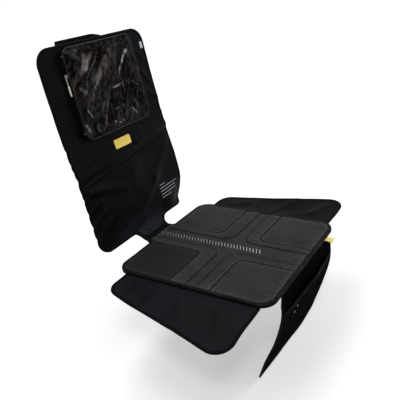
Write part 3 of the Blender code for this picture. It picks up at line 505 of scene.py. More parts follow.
# Where each cloth lies. Every piece is cut flat in (x, s) and stands n off its visible face.
seatCut = {"halfWidth": 0.2305, "front": -0.2426, "rear": 0.2224, "tabEnd": 0.2424, "tabHalf": 0.0575, "corner": 0.042,
           "fillet": 0.008, "underlayTop": 0.0020, "foam": (0.0023, 0.0083), "panel": (0.0086, 0.0116)}
backCut = {"halfWidth": 0.2165, "height": 0.578, "topCorner": 0.045, "bottomCorner": 0.040, "neckHalf": 0.0575,
           "neckFillet": 0.030, "lean": math.radians(8.685), "base": (0.2893, 0.0275), "neckStart": (0.2434, 0.0100),
           "bendRadius": 0.045, "kneeDrop": 0.008, "bow": 0.012, "bowFrom": 0.15, "bowOver": 0.18, "spare": 0.03}
frontCut = {"halfWidth": 0.175, "topHalf": 0.162, "shoulder": 0.022, "shoulderCorner": 0.018, "corner": 0.020,
            "lower": 0.025, "line": ((-0.243, -0.0003), (-0.256, -0.0553), (-0.243, -0.1103), (-0.188, -0.2623))}
sideCut = {"start": 0.2318, "top": 0.0024, "droop": math.radians(1.5), "rear": 0.188, "front": -0.218,
           "rearReach": 0.083, "frontReach": 0.180, "rearCorner": 0.050, "frontCorner": 0.045}


def walkLine(points, face):
    # A bent sheet's own line in (y, z): how far along it each point lies, the points, and the way off its face there.
    way = unit(np.gradient(points, axis=0))
    return pathRun(points), points, face * np.stack([-way[:, 1], way[:, 0]], axis=1)


def besideLine(x, s, off, line):
    # The place at s along such a line and off its face.
    run, points, ways = line
    y, z = (np.interp(s, run, points[:, k]) + off * np.interp(s, run, ways[:, k]) for k in (0, 1))
    return np.stack([x, y, z], axis=-1)


def backLine(cut):
    # A straight start, an arc round the neck's bend, then the leaning plane with its cosine bow.
    up = np.array([math.sin(cut["lean"]), math.cos(cut["lean"])])
    forward = np.array([-up[1], up[0]])
    start, foot = np.array(cut["neckStart"]), np.array(cut["base"])
    knee = foot + forward * cut["bow"] - up * cut["kneeDrop"]
    along = unit(knee - start)
    turn = math.atan2(along[0] * up[1] - along[1] * up[0], along @ up)
    reach = cut["bendRadius"] * math.tan(turn / 2.0)
    bendStart = knee - along * reach
    centre = bendStart + np.array([-along[1], along[0]]) * cut["bendRadius"]
    angles = math.atan2(along[1], along[0]) - math.pi / 2.0 + turn * np.linspace(0.0, 1.0, 40)[1:, None]
    arc = centre + cut["bendRadius"] * np.concatenate([np.cos(angles), np.sin(angles)], axis=1)
    heights = np.linspace(reach - cut["kneeDrop"], cut["height"] + cut["spare"], 300)[1:, None]
    share = np.clip((heights - cut["bowFrom"]) / cut["bowOver"], 0.0, 1.0)
    plane = foot + up * heights + forward * cut["bow"] * 0.5 * (1.0 + np.cos(math.pi * share))
    straight = start + (bendStart - start) * np.linspace(0.0, 1.0, 8)[:, None]
    return np.concatenate([straight, arc, plane])


def frontLine(cut):
    # One cubic curve from under the seat's edge, swelling forward and then tucked back.
    t = np.linspace(0.0, 1.0, 160)[:, None]
    a, b, c, d = np.array(cut["line"])
    curve = a * (1 - t) ** 3 + 3 * b * t * (1 - t) ** 2 + 3 * c * t * t * (1 - t) + d * t ** 3
    return np.concatenate([curve, 2.0 * curve[-1:] - curve[-8:-7]])


backWay = walkLine(backLine(backCut), 1.0)
neckLength = backWay[0][-1] - backCut["height"] - backCut["spare"]
frontWay = walkLine(frontLine(frontCut), -1.0)
frontLength = frontWay[0][-2]

# Folds of the cloth as (x0, s0, x1, s1, width, height); on the backrest s is the height over its lower edge.
backFolds = [(-0.210, 0.228, 0.205, 0.268, 0.011, 0.0050), (-0.215, 0.252, -0.030, 0.282, 0.008, 0.0030),
             (0.020, 0.268, 0.200, 0.290, 0.010, 0.0032), (-0.200, 0.190, -0.060, 0.150, 0.012, 0.0028),
             (-0.215, 0.170, -0.175, 0.180, 0.006, 0.0025), (-0.215, 0.130, -0.165, 0.146, 0.007, 0.0025),
             (-0.215, 0.090, -0.160, 0.112, 0.007, 0.0030), (-0.215, 0.052, -0.150, 0.080, 0.008, 0.0030),
             (-0.215, 0.275, -0.172, 0.292, 0.006, 0.0025), (-0.215, 0.310, -0.180, 0.322, 0.005, 0.0020),
             (0.165, 0.520, 0.205, 0.470, 0.005, 0.0020), (0.155, 0.470, 0.200, 0.410, 0.006, 0.0022),
             (0.160, 0.400, 0.208, 0.360, 0.006, 0.0020), (-0.060, 0.020, 0.080, 0.120, 0.018, 0.0035),
             (0.090, 0.130, 0.190, 0.215, 0.016, 0.0025), (-0.120, 0.090, 0.020, 0.190, 0.020, 0.0030),
             (0.120, 0.300, 0.210, 0.308, 0.007, 0.0025), (-0.040, 0.300, 0.090, 0.292, 0.009, 0.0020)]
sideFolds = [(0.004, -0.010, 0.120, -0.060, 0.012, 0.0046), (0.004, 0.030, 0.085, 0.050, 0.011, 0.0032),
             (0.004, -0.120, 0.110, -0.165, 0.014, 0.0040), (0.030, 0.140, 0.070, 0.090, 0.012, 0.0030),
             (0.010, -0.060, 0.060, -0.150, 0.009, 0.0026)]
frontFolds = [(-0.150, 0.020, -0.060, 0.120, 0.012, 0.0020), (0.020, 0.010, 0.060, 0.150, 0.016, 0.0022),
              (0.100, 0.030, 0.150, 0.160, 0.012, 0.0020)]

# How slack each cloth is: heights and cells of its noise, and over which lengths its free part starts to wave.
seamLine = {"level": 0.223, "slope": 0.10, "held": 0.016}
backSlack = {"slow": (0.0020, 0.075), "fine": (0.0008, 0.030), "folds": 1.35, "cornerBack": 0.024, "pocketHeld": 0.025,
             "pocket": (0.0, 0.442, 0.140, 0.124), "patchHeld": 0.016, "patch": (0.0, 0.273, 0.036, 0.014),
             "cornerSide": (0.13, 0.09), "cornerLow": (0.10, -0.10), "seamLeast": 0.25, "neckHeld": (-0.012, 0.030)}
seatSlack = {"wave": (0.0006, 0.05), "still": (0.0, 0.0, 0.15, 0.16), "over": 0.05, "foot": 0.006}
sideSlack = {"wave": (0.0030, 0.085), "free": 0.07, "tilt": 0.012, "tilted": (0.05, 0.13)}
frontSlack = {"wave": (0.0022, 0.080), "free": 0.06, "tuck": 0.013, "tucked": (0.03, 0.20), "tuckSide": (0.12, -0.30)}


def backWave(x, v):
    # Slow unevenness and folds, held flat where the pocket and its zip sit, along the seam tape and down the neck.
    (slow, slowCell), (fine, fineCell) = backSlack["slow"], backSlack["fine"]
    wave = slow * softNoise(x, v, slowCell, 11) + fine * softNoise(x, v, fineCell, 12)
    wave = wave + backSlack["folds"] * foldHeight(x, v, backFolds)
    wave = wave - backSlack["cornerBack"] * ramp(x, *backSlack["cornerSide"]) * ramp(v, *backSlack["cornerLow"])
    pocketFree = easeIn(outsideBox(x, v, backSlack["pocket"]) / backSlack["pocketHeld"])
    patchFree = easeIn(outsideBox(x, v, backSlack["patch"]) / backSlack["patchHeld"])
    seamAway = np.abs(v - seamLine["level"] - seamLine["slope"] * x)
    least = backSlack["seamLeast"]
    held = pocketFree * patchFree * (least + (1.0 - least) * easeIn(seamAway / seamLine["held"]))
    return wave * held * ramp(v, *backSlack["neckHeld"])


def onBack(x, v, n):
    # Off the bent line by n and the cloth's own waves.
    return besideLine(x, v + neckLength, n + backWave(x, v), backWay)


def onSeat(x, y, n):
    # The seat lies flat, and its rim wavers a little.
    height, cell = seatSlack["wave"]
    rim = easeIn(outsideBox(x, y, seatSlack["still"]) / seatSlack["over"])
    return np.stack([x, y, n + height * softNoise(x, y, cell, 21) * rim * easeIn(n / seatSlack["foot"])], axis=-1)


def onSideFlap(side):
    def place(reach, y, n):
        # Out from the seat on a gentle slope; waves grow away from the sewn edge.
        height, cell = sideSlack["wave"]
        wave = height * softNoise(reach, y, cell, 31 + side) + foldHeight(reach, y, sideFolds)
        tip = ramp(reach, *sideSlack["tilted"]) ** 2
        off = n + (wave * easeIn(reach / sideSlack["free"]) + side * sideSlack["tilt"] * tip)
        x = side * (sideCut["start"] + reach * math.cos(sideCut["droop"]) + off * math.sin(sideCut["droop"]))
        z = sideCut["top"] - reach * math.sin(sideCut["droop"]) + off * math.cos(sideCut["droop"])
        return np.stack([x, y, z], axis=-1)
    return place


def onFront(x, s, n):
    # Off the hanging curve by n; waves grow down from the sewn edge, and the left side is tucked back.
    height, cell = frontSlack["wave"]
    wave = (height * softNoise(x, s, cell, 41) + foldHeight(x, s, frontFolds)) * easeIn(s / frontSlack["free"])
    tucked = ramp(s, *frontSlack["tucked"]) * ramp(x, *frontSlack["tuckSide"])
    return besideLine(x, s, n + (wave - frontSlack["tuck"] * tucked), frontWay)


# Edge tape and sewing, used on every edge.
tapeCut = {"leg": 0.008, "thick": 0.0007, "clear": 0.0003, "lip": 0.0002, "corner": 0.0022, "bulge": 0.0003,
           "paleOver": 0.0012}
seam = {"pitch": 0.0034, "stitch": 0.0023, "thread": 0.00026}


def tapeSection(low, high, lowEdge=None):
    # A flat U in section: two legs that end in pressed lips, joined by a web with round corners and a soft bulge.
    leg, thick, clear = tapeCut["leg"], tapeCut["thick"], tapeCut["clear"]
    innerLow = low - clear if lowEdge is None else lowEdge + thick
    innerHigh = high + clear
    top, bottom, web = innerHigh + thick, innerLow - thick, clear + thick
    middle, half = (top + bottom) / 2.0, (top - bottom) / 2.0
    radius = min(half, tapeCut["corner"])
    angles = np.radians([90.0, 65.0, 40.0, 15.0])
    upper = [(web - radius + radius * math.cos(a), top - radius + radius * math.sin(a)) for a in angles]
    lower = [(off, 2.0 * middle - height) for off, height in reversed(upper)]
    lips = [(-leg, innerHigh + tapeCut["lip"]), (-leg + 0.0005, top), (-leg * 0.55, top + 0.0001)]
    underLips = [(off, 2.0 * middle - height) for off, height in reversed(lips)]
    bulge = [(web + tapeCut["bulge"], middle)]
    inner = [(-leg, innerLow), (clear, innerLow), (clear, innerHigh), (-leg, innerHigh)]
    return lips + upper + bulge + lower + underLips + inner


def sewRow(points, outs, offset, height, place, closed=False, look=seam):
    # A running row of stitches: spindles of five sides set along the path, each laid on the cloth by its own place.
    path = points + outs * offset
    if closed:
        path = np.concatenate([path, path[:1]])
    run = pathRun(path)
    count = max(1, int(run[-1] / look["pitch"]))
    at = (np.arange(count) + 0.5) * run[-1] / count
    half = look["stitch"] / 2.0
    centre = np.stack([np.interp(at, run, path[:, k]) for k in (0, 1)], axis=1)
    ahead = np.stack([np.interp(at + half, run, path[:, k]) - np.interp(at - half, run, path[:, k]) for k in (0, 1)],
                     axis=1)
    way = unit(ahead)
    sides = 5
    angles = ringAngles(sides)
    rings = [(share * half, look["thread"] * thick) for share, thick in ((-0.75, 0.75), (0.0, 1.0), (0.75, 0.75))]
    shape = [(-half, 0.0, -look["thread"])]
    shape += [(a, r * math.cos(t), r * math.sin(t)) for a, r in rings for t in angles] + [(half, 0.0, -look["thread"])]
    shape = np.array(shape)
    faces = [[0, 1 + (k + 1) % sides, 1 + k] for k in range(sides)]
    faces += [[1 + sides * r + k, 1 + sides * r + (k + 1) % sides, 1 + sides * (r + 1) + (k + 1) % sides,
               1 + sides * (r + 1) + k] for r in (0, 1) for k in range(sides)]
    faces += [[1 + 3 * sides, 1 + 2 * sides + k, 1 + 2 * sides + (k + 1) % sides] for k in range(sides)]
    x = centre[:, None, 0] + way[:, None, 0] * shape[:, 0] - way[:, None, 1] * shape[:, 1]
    s = centre[:, None, 1] + way[:, None, 1] * shape[:, 0] + way[:, None, 0] * shape[:, 1]
    n = np.broadcast_to(height + shape[:, 2], x.shape)
    return place(x.ravel(), s.ravel(), n.ravel()), repeatShape(shape, faces, count)


def joinShapes(*shapes):
    # Several (points, faces) as one.
    points, faces, count = [], [], 0
    for laid, corners in shapes:
        points.append(laid)
        faces += [[corner + count for corner in face] for face in corners]
        count += len(laid)
    return np.concatenate(points), faces


def sewLine(x, s, height, place):
    # A row along a line that is given by its places, on the line itself.
    path = np.stack([x, np.broadcast_to(s, x.shape)], axis=1)
    return sewRow(path, np.zeros(path.shape), 0.0, height, place)


def addStitches(name, *rows, slot="edge_tape"):
    # All rows of thread of a part as one piece.
    return addPiece(name + "_stitches", *joinShapes(*rows), sewingThread, slot=slot)


def bindEdge(name, corners, place, low, high, lowEdge=None, rows=(0.0016,), finish=edgeTape, highlightFrom=None):
    # Tape folded round an open edge, with its stitches near both lips. Above the given height it is painted as pale as
    # the seat: a painted highlight along the seat's rim.
    points, outs = traceOutline(corners, 0.004, closed=False)
    laid, faces, cutMap = carryProfile(points, outs, tapeSection(low, high, lowEdge), place, False)
    wearAndLight = np.zeros(len(laid)) if highlightFrom is None else ramp(laid[:, 2], highlightFrom, tapeCut["paleOver"])
    piece = addPiece(name + "_tape", laid, faces, finish, cutMap, wearAndLight, slot="edge_tape", nodes=[name])
    top = high + tapeCut["clear"] + tapeCut["thick"]
    bottom = (low - tapeCut["clear"] if lowEdge is None else lowEdge + tapeCut["thick"]) - tapeCut["thick"]
    inset = [row - tapeCut["leg"] for row in rows]
    levels = (top + 0.0001, bottom - 0.0001)
    stitches = addStitches(name, *[sewRow(points, outs, off, level, place) for off in inset for level in levels])


def seatCorners(cut):
    return [(-cut["tabHalf"], cut["tabEnd"], 0.0), (-cut["tabHalf"], cut["rear"], cut["fillet"]),
            (-cut["halfWidth"], cut["rear"], cut["corner"]), (-cut["halfWidth"], cut["front"], cut["corner"]),
            (cut["halfWidth"], cut["front"], cut["corner"]), (cut["halfWidth"], cut["rear"], cut["corner"]),
            (cut["tabHalf"], cut["rear"], cut["fillet"]), (cut["tabHalf"], cut["tabEnd"], 0.0)]


padCut = {"seamHalf": 0.0575, "rear": 0.0474, "front": -0.0726, "corner": 0.022, "square": 0.002,
          "channelHalf": 0.030, "channelFront": -0.0326, "channelRear": -0.0026, "channelCorner": 0.040,
          "channelDip": 0.0022, "channelEdge": 0.005, "seamDip": 0.0026, "seamWidth": 0.0022, "threadDip": 0.0006,
          "threadWidth": 0.0016, "padRise": 0.0046, "bandRise": 0.0032, "parting": 0.0006, "foldsFree": 0.012,
          "creaseFree": 0.004, "creaseStart": 1.5}
puff = {"step": 0.0036, "reach": (0.2340, 0.2460), "frames": 20, "tapeHold": 0.0086, "seamHold": 0.0024,
        "quickOver": 0.010,
        "rules": {"quality": 6, "mass": 0.3, "tension_stiffness": 18.0, "compression_stiffness": 18.0,
                  "shear_stiffness": 6.0, "bending_stiffness": 0.6, "shrink_min": -0.022, "vertex_group_mass": "held",
                  "use_pressure": True, "uniform_pressure_force": 5.0}}


def padCorners(side, inner, outer):
    corners = [(side * padCut["seamHalf"], inner, padCut["corner"]),
               (side * seatCut["halfWidth"], inner, padCut["square"]),
               (side * seatCut["halfWidth"], outer, seatCut["corner"]),
               (side * padCut["seamHalf"], outer, padCut["square"])]
    return corners if side * (outer - inner) > 0.0 else corners[::-1]


def crossCorners(half, front, rear, side, frontEnd, rearEnd, radius):
    return [(-half, rearEnd, 0.0), (-half, rear, radius), (-side, rear, 0.0), (-side, front, 0.0),
            (-half, front, radius), (-half, frontEnd, 0.0), (half, frontEnd, 0.0), (half, front, radius),
            (side, front, 0.0), (side, rear, 0.0), (half, rear, radius), (half, rearEnd, 0.0)]


padPlaces = {"rear_left": (-1, padCut["rear"], seatCut["rear"]), "rear_right": (1, padCut["rear"], seatCut["rear"]),
             "front_left": (-1, padCut["front"], seatCut["front"]),
             "front_right": (1, padCut["front"], seatCut["front"])}
padLines = {name: traceOutline(padCorners(*place))[0] for name, place in padPlaces.items()}
coarsePads = [traceOutline(padCorners(*place), 0.010)[0] for place in padPlaces.values()]
channelLine = traceOutline(crossCorners(padCut["channelHalf"], padCut["channelFront"], padCut["channelRear"], 0.30,
                                        -0.30, 0.30, padCut["channelCorner"]), 0.010)[0]
seatEdge = traceOutline(seatCorners(seatCut), 0.010)[0]
# Small folds sewn into the seat's top, as (x0, y0, x1, y1, width, height).
seatFolds = [(-0.165, -0.006, -0.070, -0.018, 0.0035, 0.0013), (-0.150, -0.026, -0.050, -0.022, 0.0030, 0.0010),
             (-0.200, -0.018, -0.120, -0.012, 0.0030, 0.0012), (-0.105, -0.004, -0.085, -0.034, 0.0030, 0.0009),
             (0.060, -0.010, 0.150, -0.022, 0.0035, 0.0011), (0.110, -0.028, 0.210, -0.012, 0.0032, 0.0012),
             (0.006, -0.150, -0.004, -0.225, 0.0035, 0.0012), (-0.014, -0.120, -0.018, -0.210, 0.0030, 0.0009),
             (-0.212, -0.150, -0.168, -0.226, 0.0055, 0.0016), (-0.205, -0.125, -0.130, -0.222, 0.0060, 0.0012),
             (0.012, -0.060, 0.022, -0.130, 0.0035, 0.0009), (0.150, -0.228, 0.208, -0.170, 0.0055, 0.0013)]


def seatLevels(x, y):
    # The sewn-down heights of the seat's top, how far each point may rise, and how far it is from what holds it.
    flat = np.stack([x.ravel(), y.ravel()], axis=1)
    pads = np.stack([depthInside(flat, line)[0] for line in coarsePads])
    inPad = pads.max(axis=0) > 0.0
    seamAway = np.abs(pads).min(axis=0)
    channelAway = -depthInside(flat, channelLine)[0]
    edgeAway = depthInside(flat, seatEdge)[0] - puff["tapeHold"]
    dip = padCut["channelDip"] * easeIn(0.5 - channelAway / padCut["channelEdge"])
    crease = padCut["seamDip"] * np.exp(-(seamAway / padCut["seamWidth"]) ** 2)
    stitched = padCut["threadDip"] * np.exp(-(channelAway / padCut["threadWidth"]) ** 2)
    level = seatCut["panel"][1] + foldHeight(*flat.T, seatFolds) * easeIn(edgeAway / padCut["foldsFree"]) - dip
    level = level - (crease + stitched) * easeIn(edgeAway / padCut["creaseFree"] + padCut["creaseStart"])
    rise = np.where(inPad, padCut["padRise"], padCut["bandRise"])
    away = np.minimum(np.minimum(np.where(inPad, np.inf, channelAway), seamAway), edgeAway)
    return level.reshape(x.shape), rise.reshape(x.shape), away.reshape(x.shape)


def puffSeatTop():
    # The seat's top as one fine cloth, pinned along its seams, its channel and its tape, and blown up from below.
    xs, ys = (np.arange(-reach, reach + 0.0001, puff["step"]) for reach in puff["reach"])
    x, y = np.meshgrid(xs, ys)
    level, limit, away = seatLevels(x, y)
    start = np.stack([x.ravel(), y.ravel(), level.ravel()], axis=1)
    mesh = bpy.data.meshes.new("puffedTop")
    mesh.from_pydata(start.tolist(), [], gridCells(len(ys), len(xs)).tolist())
    top = bpy.data.objects.new("puffedTop", mesh)
    bpy.context.scene.collection.objects.link(top)
    held = top.vertex_groups.new(name="held")
    held.add(np.flatnonzero(away.ravel() < puff["seamHold"]).tolist(), 1.0, "REPLACE")
    cloth = top.modifiers.new("Cloth", "CLOTH")
    for rule, value in puff["rules"].items():
        setattr(cloth.settings, rule, value)
    cloth.settings.effector_weights.gravity = 0.0
    cloth.collision_settings.use_collision = False
    cloth.point_cache.frame_start, cloth.point_cache.frame_end = 1, puff["frames"]
    for moment in range(1, puff["frames"] + 1):
        bpy.context.scene.frame_set(moment)
    blown = top.evaluated_get(bpy.context.evaluated_depsgraph_get()).to_mesh()
    settled = np.zeros(len(start) * 3)
    blown.vertices.foreach_get("co", settled)
    bpy.data.objects.remove(top, do_unlink=True)
    bpy.context.scene.frame_set(1)
    lift = settled.reshape(len(ys), len(xs), 3)[..., 2] - level
    print("seat top blown up by", round(float(lift.max()) * 1000.0, 1), "mm before its cap")
    return xs, ys, level + limit * np.tanh(np.maximum(lift, -0.001) / limit)


def sampleGrid(xs, ys, heights, x, y):
    # Heights between the grid's points, by shares of the four round each place.
    u = np.clip((x - xs[0]) / (xs[1] - xs[0]), 0.0, len(xs) - 1.001)
    v = np.clip((y - ys[0]) / (ys[1] - ys[0]), 0.0, len(ys) - 1.001)
    j, i = u.astype(int), v.astype(int)
    a, b = u - j, v - i
    low = heights[i, j] * (1.0 - a) + heights[i, j + 1] * a
    return low * (1.0 - b) + (heights[i + 1, j] * (1.0 - a) + heights[i + 1, j + 1] * a) * b


topXs, topYs, topHeights = puffSeatTop()


def seatTop(x, y):
    return sampleGrid(topXs, topYs, topHeights, x, y)


def onSeatTop(x, y, n):
    # Over the puffed top, just clear of it.
    return onSeat(x, y, n + seatTop(x, y) + 0.0001)


def startInside(points, outs, depth):
    # The stretch of an outline that lies deeper inside the seat than depth, from its first point.
    inside = depthInside(points, seatEdge)[0] > depth
    first = int(np.flatnonzero(inside & ~np.roll(inside, 1))[0])
    points, outs, inside = (np.roll(array, -first, axis=0) for array in (points, outs, inside))
    end = int(np.argmin(inside))
    return points[:end], outs[:end]


def rubbedRim(points, outline, reach):
    # Wear fades from one at the cut's edge to nought further in, once for each layer.
    return np.tile(np.exp(-np.maximum(depthInside(points, outline)[0], 0.0) / reach), 2)


def rimHighlight(points, outline):
    # Painted highlights: beside the seat's tape the raised rim is painted palest, and beside the inner seams a
    # little. Each line comes with how much, where it starts to fade and how far that reaches.
    paleness = 0.0
    for line, (most, start, reach) in ((seatEdge, (0.95, 0.0088, 0.0055)), (outline, (0.60, 0.002, 0.006))):
        paleness = paleness + most * np.exp(-np.maximum(depthInside(points, line)[0] - start, 0.0) / reach)
    return np.tile(np.clip(paleness, 0.0, 1.0), 2)


padFinish = {"rear_left": (darkSeatCloth, "dark_seat_cloth"), "rear_right": (seatCloth, "seat_cloth"),
             "front_left": (seatCloth, "seat_cloth"), "front_right": (seatCloth, "seat_cloth")}
for name, outline in padLines.items():
    points, outs = traceOutline(padCorners(*padPlaces[name]))
    cut = cutCloth(points - outs * padCut["parting"], 0.0026)
    finish, slot = padFinish[name]
    pad = addCloth("pad_" + name, cut, onSeat, seatCut["panel"][0], seatTop, finish, rimHighlight(cut[0], outline),
                   slot=slot, nodes=["seat_pad_" + name])

crossOutline = traceOutline(crossCorners(0.0569, -0.0720, 0.0468, seatCut["halfWidth"], seatCut["front"],
                                         seatCut["tabEnd"], 0.0226))[0]
cut = cutCloth(crossOutline, 0.0026)
crossPanel = addCloth("cross_panel", cut, onSeat, seatCut["panel"][0], seatTop, seatCloth,
                      rimHighlight(cut[0], crossOutline), slot="seat_cloth", nodes=["seat_cross_panel"])

# Thread along the channel's two lines and the four pad seams.
channelPath = crossCorners(0.0312, -0.0338, -0.0014, 0.2215, -0.2335, 0.2335, 0.0388)
quarters = [channelPath[0:3], channelPath[3:6], channelPath[6:9], channelPath[9:12]]
sewn = []
for corners in quarters:
    points, outs = traceOutline(corners, 0.004, closed=False)
    sewn.append(sewRow(points, outs, 0.0, 0.0, onSeatTop))
for name in padLines:
    points, outs = startInside(*traceOutline(padCorners(*padPlaces[name]), 0.004), 0.009)
    sewn.append(sewRow(points, outs, -0.0026, 0.0, onSeatTop))
# Painted shadow: a thin black cord lies in each pad seam and along the channel where the seams' shade falls, with its
# lift and its radius. It is paler towards the rear left.
seamShadow = {"channel": (0.0002, 0.0009), "pad": (0.0004, 0.0012), "inside": 0.007, "sides": 6, "paleness": 0.75,
            "paleSide": (0.05, -0.06), "paleRear": (0.01, 0.05)}
paths = [(traceOutline(corners, closed=False)[0], "channel") for corners in quarters]
paths += [(startInside(*traceOutline(padCorners(*place)), seamShadow["inside"])[0], "pad")
          for place in padPlaces.values()]
shadowCords = []
for points, kind in paths:
    lift, radius = seamShadow[kind]
    shadowCords.append(carryTube(onSeat(*points.T, seatTop(*points.T) + lift), radius, seamShadow["sides"]))
laid, faces = joinShapes(*shadowCords)
paleness = seamShadow["paleness"] * ramp(laid[:, 0], *seamShadow["paleSide"]) * ramp(laid[:, 1], *seamShadow["paleRear"])
addPiece("seat_seam_shadow_cords", laid, faces, blackTapeAndShadow, None, paleness, slot="edge_tape")
addStitches("seat_top", *sewn)


def onLevel(x, y, n):
    return np.stack([x, y, n], axis=-1)


# The underlay and the foam under the top.
underlayLine = traceOutline(seatCorners({**seatCut, "halfWidth": 0.2222, "front": -0.2343, "rear": 0.2141,
                                         "tabEnd": 0.2341, "tabHalf": 0.0492, "corner": 0.0337, "fillet": 0.0163}))[0]
underlay = addCloth("grip_underlay", cutCloth(underlayLine, 0.006), onLevel, 0.0, seatCut["underlayTop"], underlayGrip,
                    slot="grip_underlay", nodes=["seat_base_layer"])
sayCloth(underlayLine)
foamLine = traceOutline(seatCorners({**seatCut, "halfWidth": 0.2285, "front": -0.2406, "rear": 0.2204, "tabEnd": 0.2404,
                                     "tabHalf": 0.0555, "corner": 0.040, "fillet": 0.010}))[0]
core = addCloth("foam_core", cutCloth(foamLine, 0.006), onLevel, *seatCut["foam"], coreFoam, slot="core_foam",
                nodes=["seat_foam_core"])

# Grip dots: slanted rows of three soft domes on the channel's floor, smaller towards the front.
dots = {"rows": 34, "columns": 3, "first": 0.2274, "pitch": 0.0101, "across": 0.0064, "slant": 0.0031, "sides": 12,
        "length": 0.0028, "width": 0.0011, "height": 0.0012, "smallest": 0.52}
row, column = (grid.ravel() for grid in np.meshgrid(np.arange(dots["rows"]), np.arange(dots["columns"]) - 1.0,
                                                    indexing="ij"))
centre = np.stack([column * dots["across"], dots["first"] - row * dots["pitch"] + column * dots["slant"]], axis=1)
tilt = math.atan2(dots["slant"], dots["across"])
rings = [(1.0, -0.0003), (1.0, 0.0004), (0.88, 0.0009), (0.55, dots["height"])]
dome = [(share * dots["length"] * math.cos(a), share * dots["width"] * math.sin(a), lift)
        for share, lift in rings for a in ringAngles(dots["sides"])]
dome = np.array(dome + [(0.0, 0.0, dots["height"] + 0.0001)])
size = (dots["smallest"] + (1.0 - dots["smallest"]) * row / dots["rows"])[:, None]
x = centre[:, None, 0] + size * (dome[:, 0] * math.cos(tilt) - dome[:, 1] * math.sin(tilt))
y = centre[:, None, 1] + size * (dome[:, 0] * math.sin(tilt) + dome[:, 1] * math.cos(tilt))
lift = seatTop(centre[:, 0], centre[:, 1])[:, None] + dome[:, 2]
addPiece("grip_dots_domes", onSeat(x.ravel(), y.ravel(), lift.ravel()),
         repeatShape(dome, domeFaces(len(rings), dots["sides"]), len(centre)), gripRubber, slot="grip_rubber",
         nodes=["grip_dots"])

# The seat's tape is pale over its top and upper side: a painted rim highlight.
bindEdge("seat_binding", seatCorners(seatCut), onSeat, 0.0, seatCut["panel"][1], lowEdge=0.0, rows=(0.0016, 0.0050),
         finish=seatTape, highlightFrom=0.0090)
print("seat done")

# Side flaps: flat trapezoids sewn to the seat's edge.
sideCorners = [(0.0, sideCut["front"], 0.0), (sideCut["frontReach"], sideCut["front"], sideCut["frontCorner"]),
               (sideCut["rearReach"], sideCut["rear"], sideCut["rearCorner"]), (0.0, sideCut["rear"], 0.0)]
sideLine = traceOutline(sideCorners)[0]
sideSheet = cutCloth(sideLine, 0.0035)
for name, side, finish in (("left_flap", -1, leftFlapSheenCloth), ("right_flap", 1, rightFlapSheenCloth)):
    flap = addCloth(name + "_cloth", sideSheet, onSideFlap(side), -0.0018, 0.0, finish,
                    rubbedRim(sideSheet[0], sideLine, 0.014), slot="panel_cloth", nodes=[name])
    sayCloth(sideLine)
    bindEdge(name + "_binding", sideCorners, onSideFlap(side), -0.0018, 0.0)

# Front flap, its net pocket and the pocket's hem.
frontCorners = [(frontCut["topHalf"], 0.0, 0.0),
                (frontCut["halfWidth"], frontCut["shoulder"], frontCut["shoulderCorner"]),
                (frontCut["halfWidth"], frontLength, frontCut["corner"]),
                (-frontCut["halfWidth"], frontLength + frontCut["lower"], frontCut["corner"]),
                (-frontCut["halfWidth"], frontCut["shoulder"], frontCut["shoulderCorner"]),
                (-frontCut["topHalf"], 0.0, 0.0)]
frontOutline = traceOutline(frontCorners)[0]
frontSheet = cutCloth(frontOutline, 0.0035)
frontFlap = addCloth("front_flap_cloth", frontSheet, onFront, -0.0016, 0.0, frontCloth,
                     rubbedRim(frontSheet[0], frontOutline, 0.014), slot="panel_cloth", nodes=["front_flap"])
sayCloth(frontOutline)
bindEdge("front_flap_binding", frontCorners, onFront, -0.0016, 0.0, finish=blackTapeAndShadow)

net = {"halfWidth": 0.1667, "top": 0.0455, "corner": 0.012, "cell": 0.0052, "hole": 0.36, "thick": 0.0008,
       "slack": 0.22, "bulge": 0.008, "foot": 0.0003, "hemWidth": 0.012, "hemThick": 0.0009}
netEnd = frontLength - 0.0083


def netRise(x, s):
    # Sewn down at its sides and foot and loose at its mouth, with a slow slackness of its own.
    across = np.maximum(1.0 - (x / net["halfWidth"]) ** 2, 0.0)
    down = np.maximum((netEnd - s) / (netEnd - net["top"]), 0.0)
    return net["foot"] + net["bulge"] * across * down * (1.0 + net["slack"] * softNoise(x, s, 0.06, 43))


netCorners = [(-net["halfWidth"], netEnd, net["corner"]), (-net["halfWidth"], net["top"], 0.0),
              (net["halfWidth"], net["top"], 0.0), (net["halfWidth"], netEnd, net["corner"])]
netLine = traceOutline(netCorners)[0]
netGrid, netCells = cutCloth(netLine, net["cell"])
# Each cell of the net is a frame round an eight-sided hole; the corners are shared and so are the middles of the sides.
sides = np.stack([netCells, np.roll(netCells, -1, axis=1)], axis=2).reshape(-1, 2)
edges, which = np.unique(np.sort(sides, axis=1), axis=0, return_inverse=True)
middles = netGrid[edges].mean(axis=1)
which = which.reshape(-1, 4) + len(netGrid)
ring = np.stack([netCells, which], axis=2).reshape(-1, 8)
outer = np.concatenate([netGrid, middles])
centres = outer[ring].mean(axis=1)
reach = outer[ring] - centres[:, None]
size = np.linalg.norm(outer[which] - centres[:, None], axis=2).mean(axis=1)[:, None, None]
holes = centres[:, None] + unit(reach) * size * 2.0 * net["hole"]
base = len(outer) + np.arange(len(ring) * 8).reshape(-1, 8)
flat = np.concatenate([outer, holes.reshape(-1, 2)])
netFaces = np.stack([ring, np.roll(ring, -1, axis=1), np.roll(base, -1, axis=1), base], axis=2).reshape(-1, 4)
netPocket = addCloth("net_pocket", (flat, netFaces), onFront, netRise, lambda x, s: netRise(x, s) + net["thick"],
                     netCloth, slot="mesh_cloth", nodes=["front_mesh_pocket"])
corner = flat[netFaces]

hemLine = traceOutline([(-net["halfWidth"], net["top"] + net["hemWidth"], 0.0), (-net["halfWidth"], net["top"], 0.0),
                        (net["halfWidth"], net["top"], 0.0), (net["halfWidth"], net["top"] + net["hemWidth"], 0.0)])[0]


def hemBase(x, s):
    # The hem lies on the net.
    return netRise(x, s) + net["thick"] + 0.0003


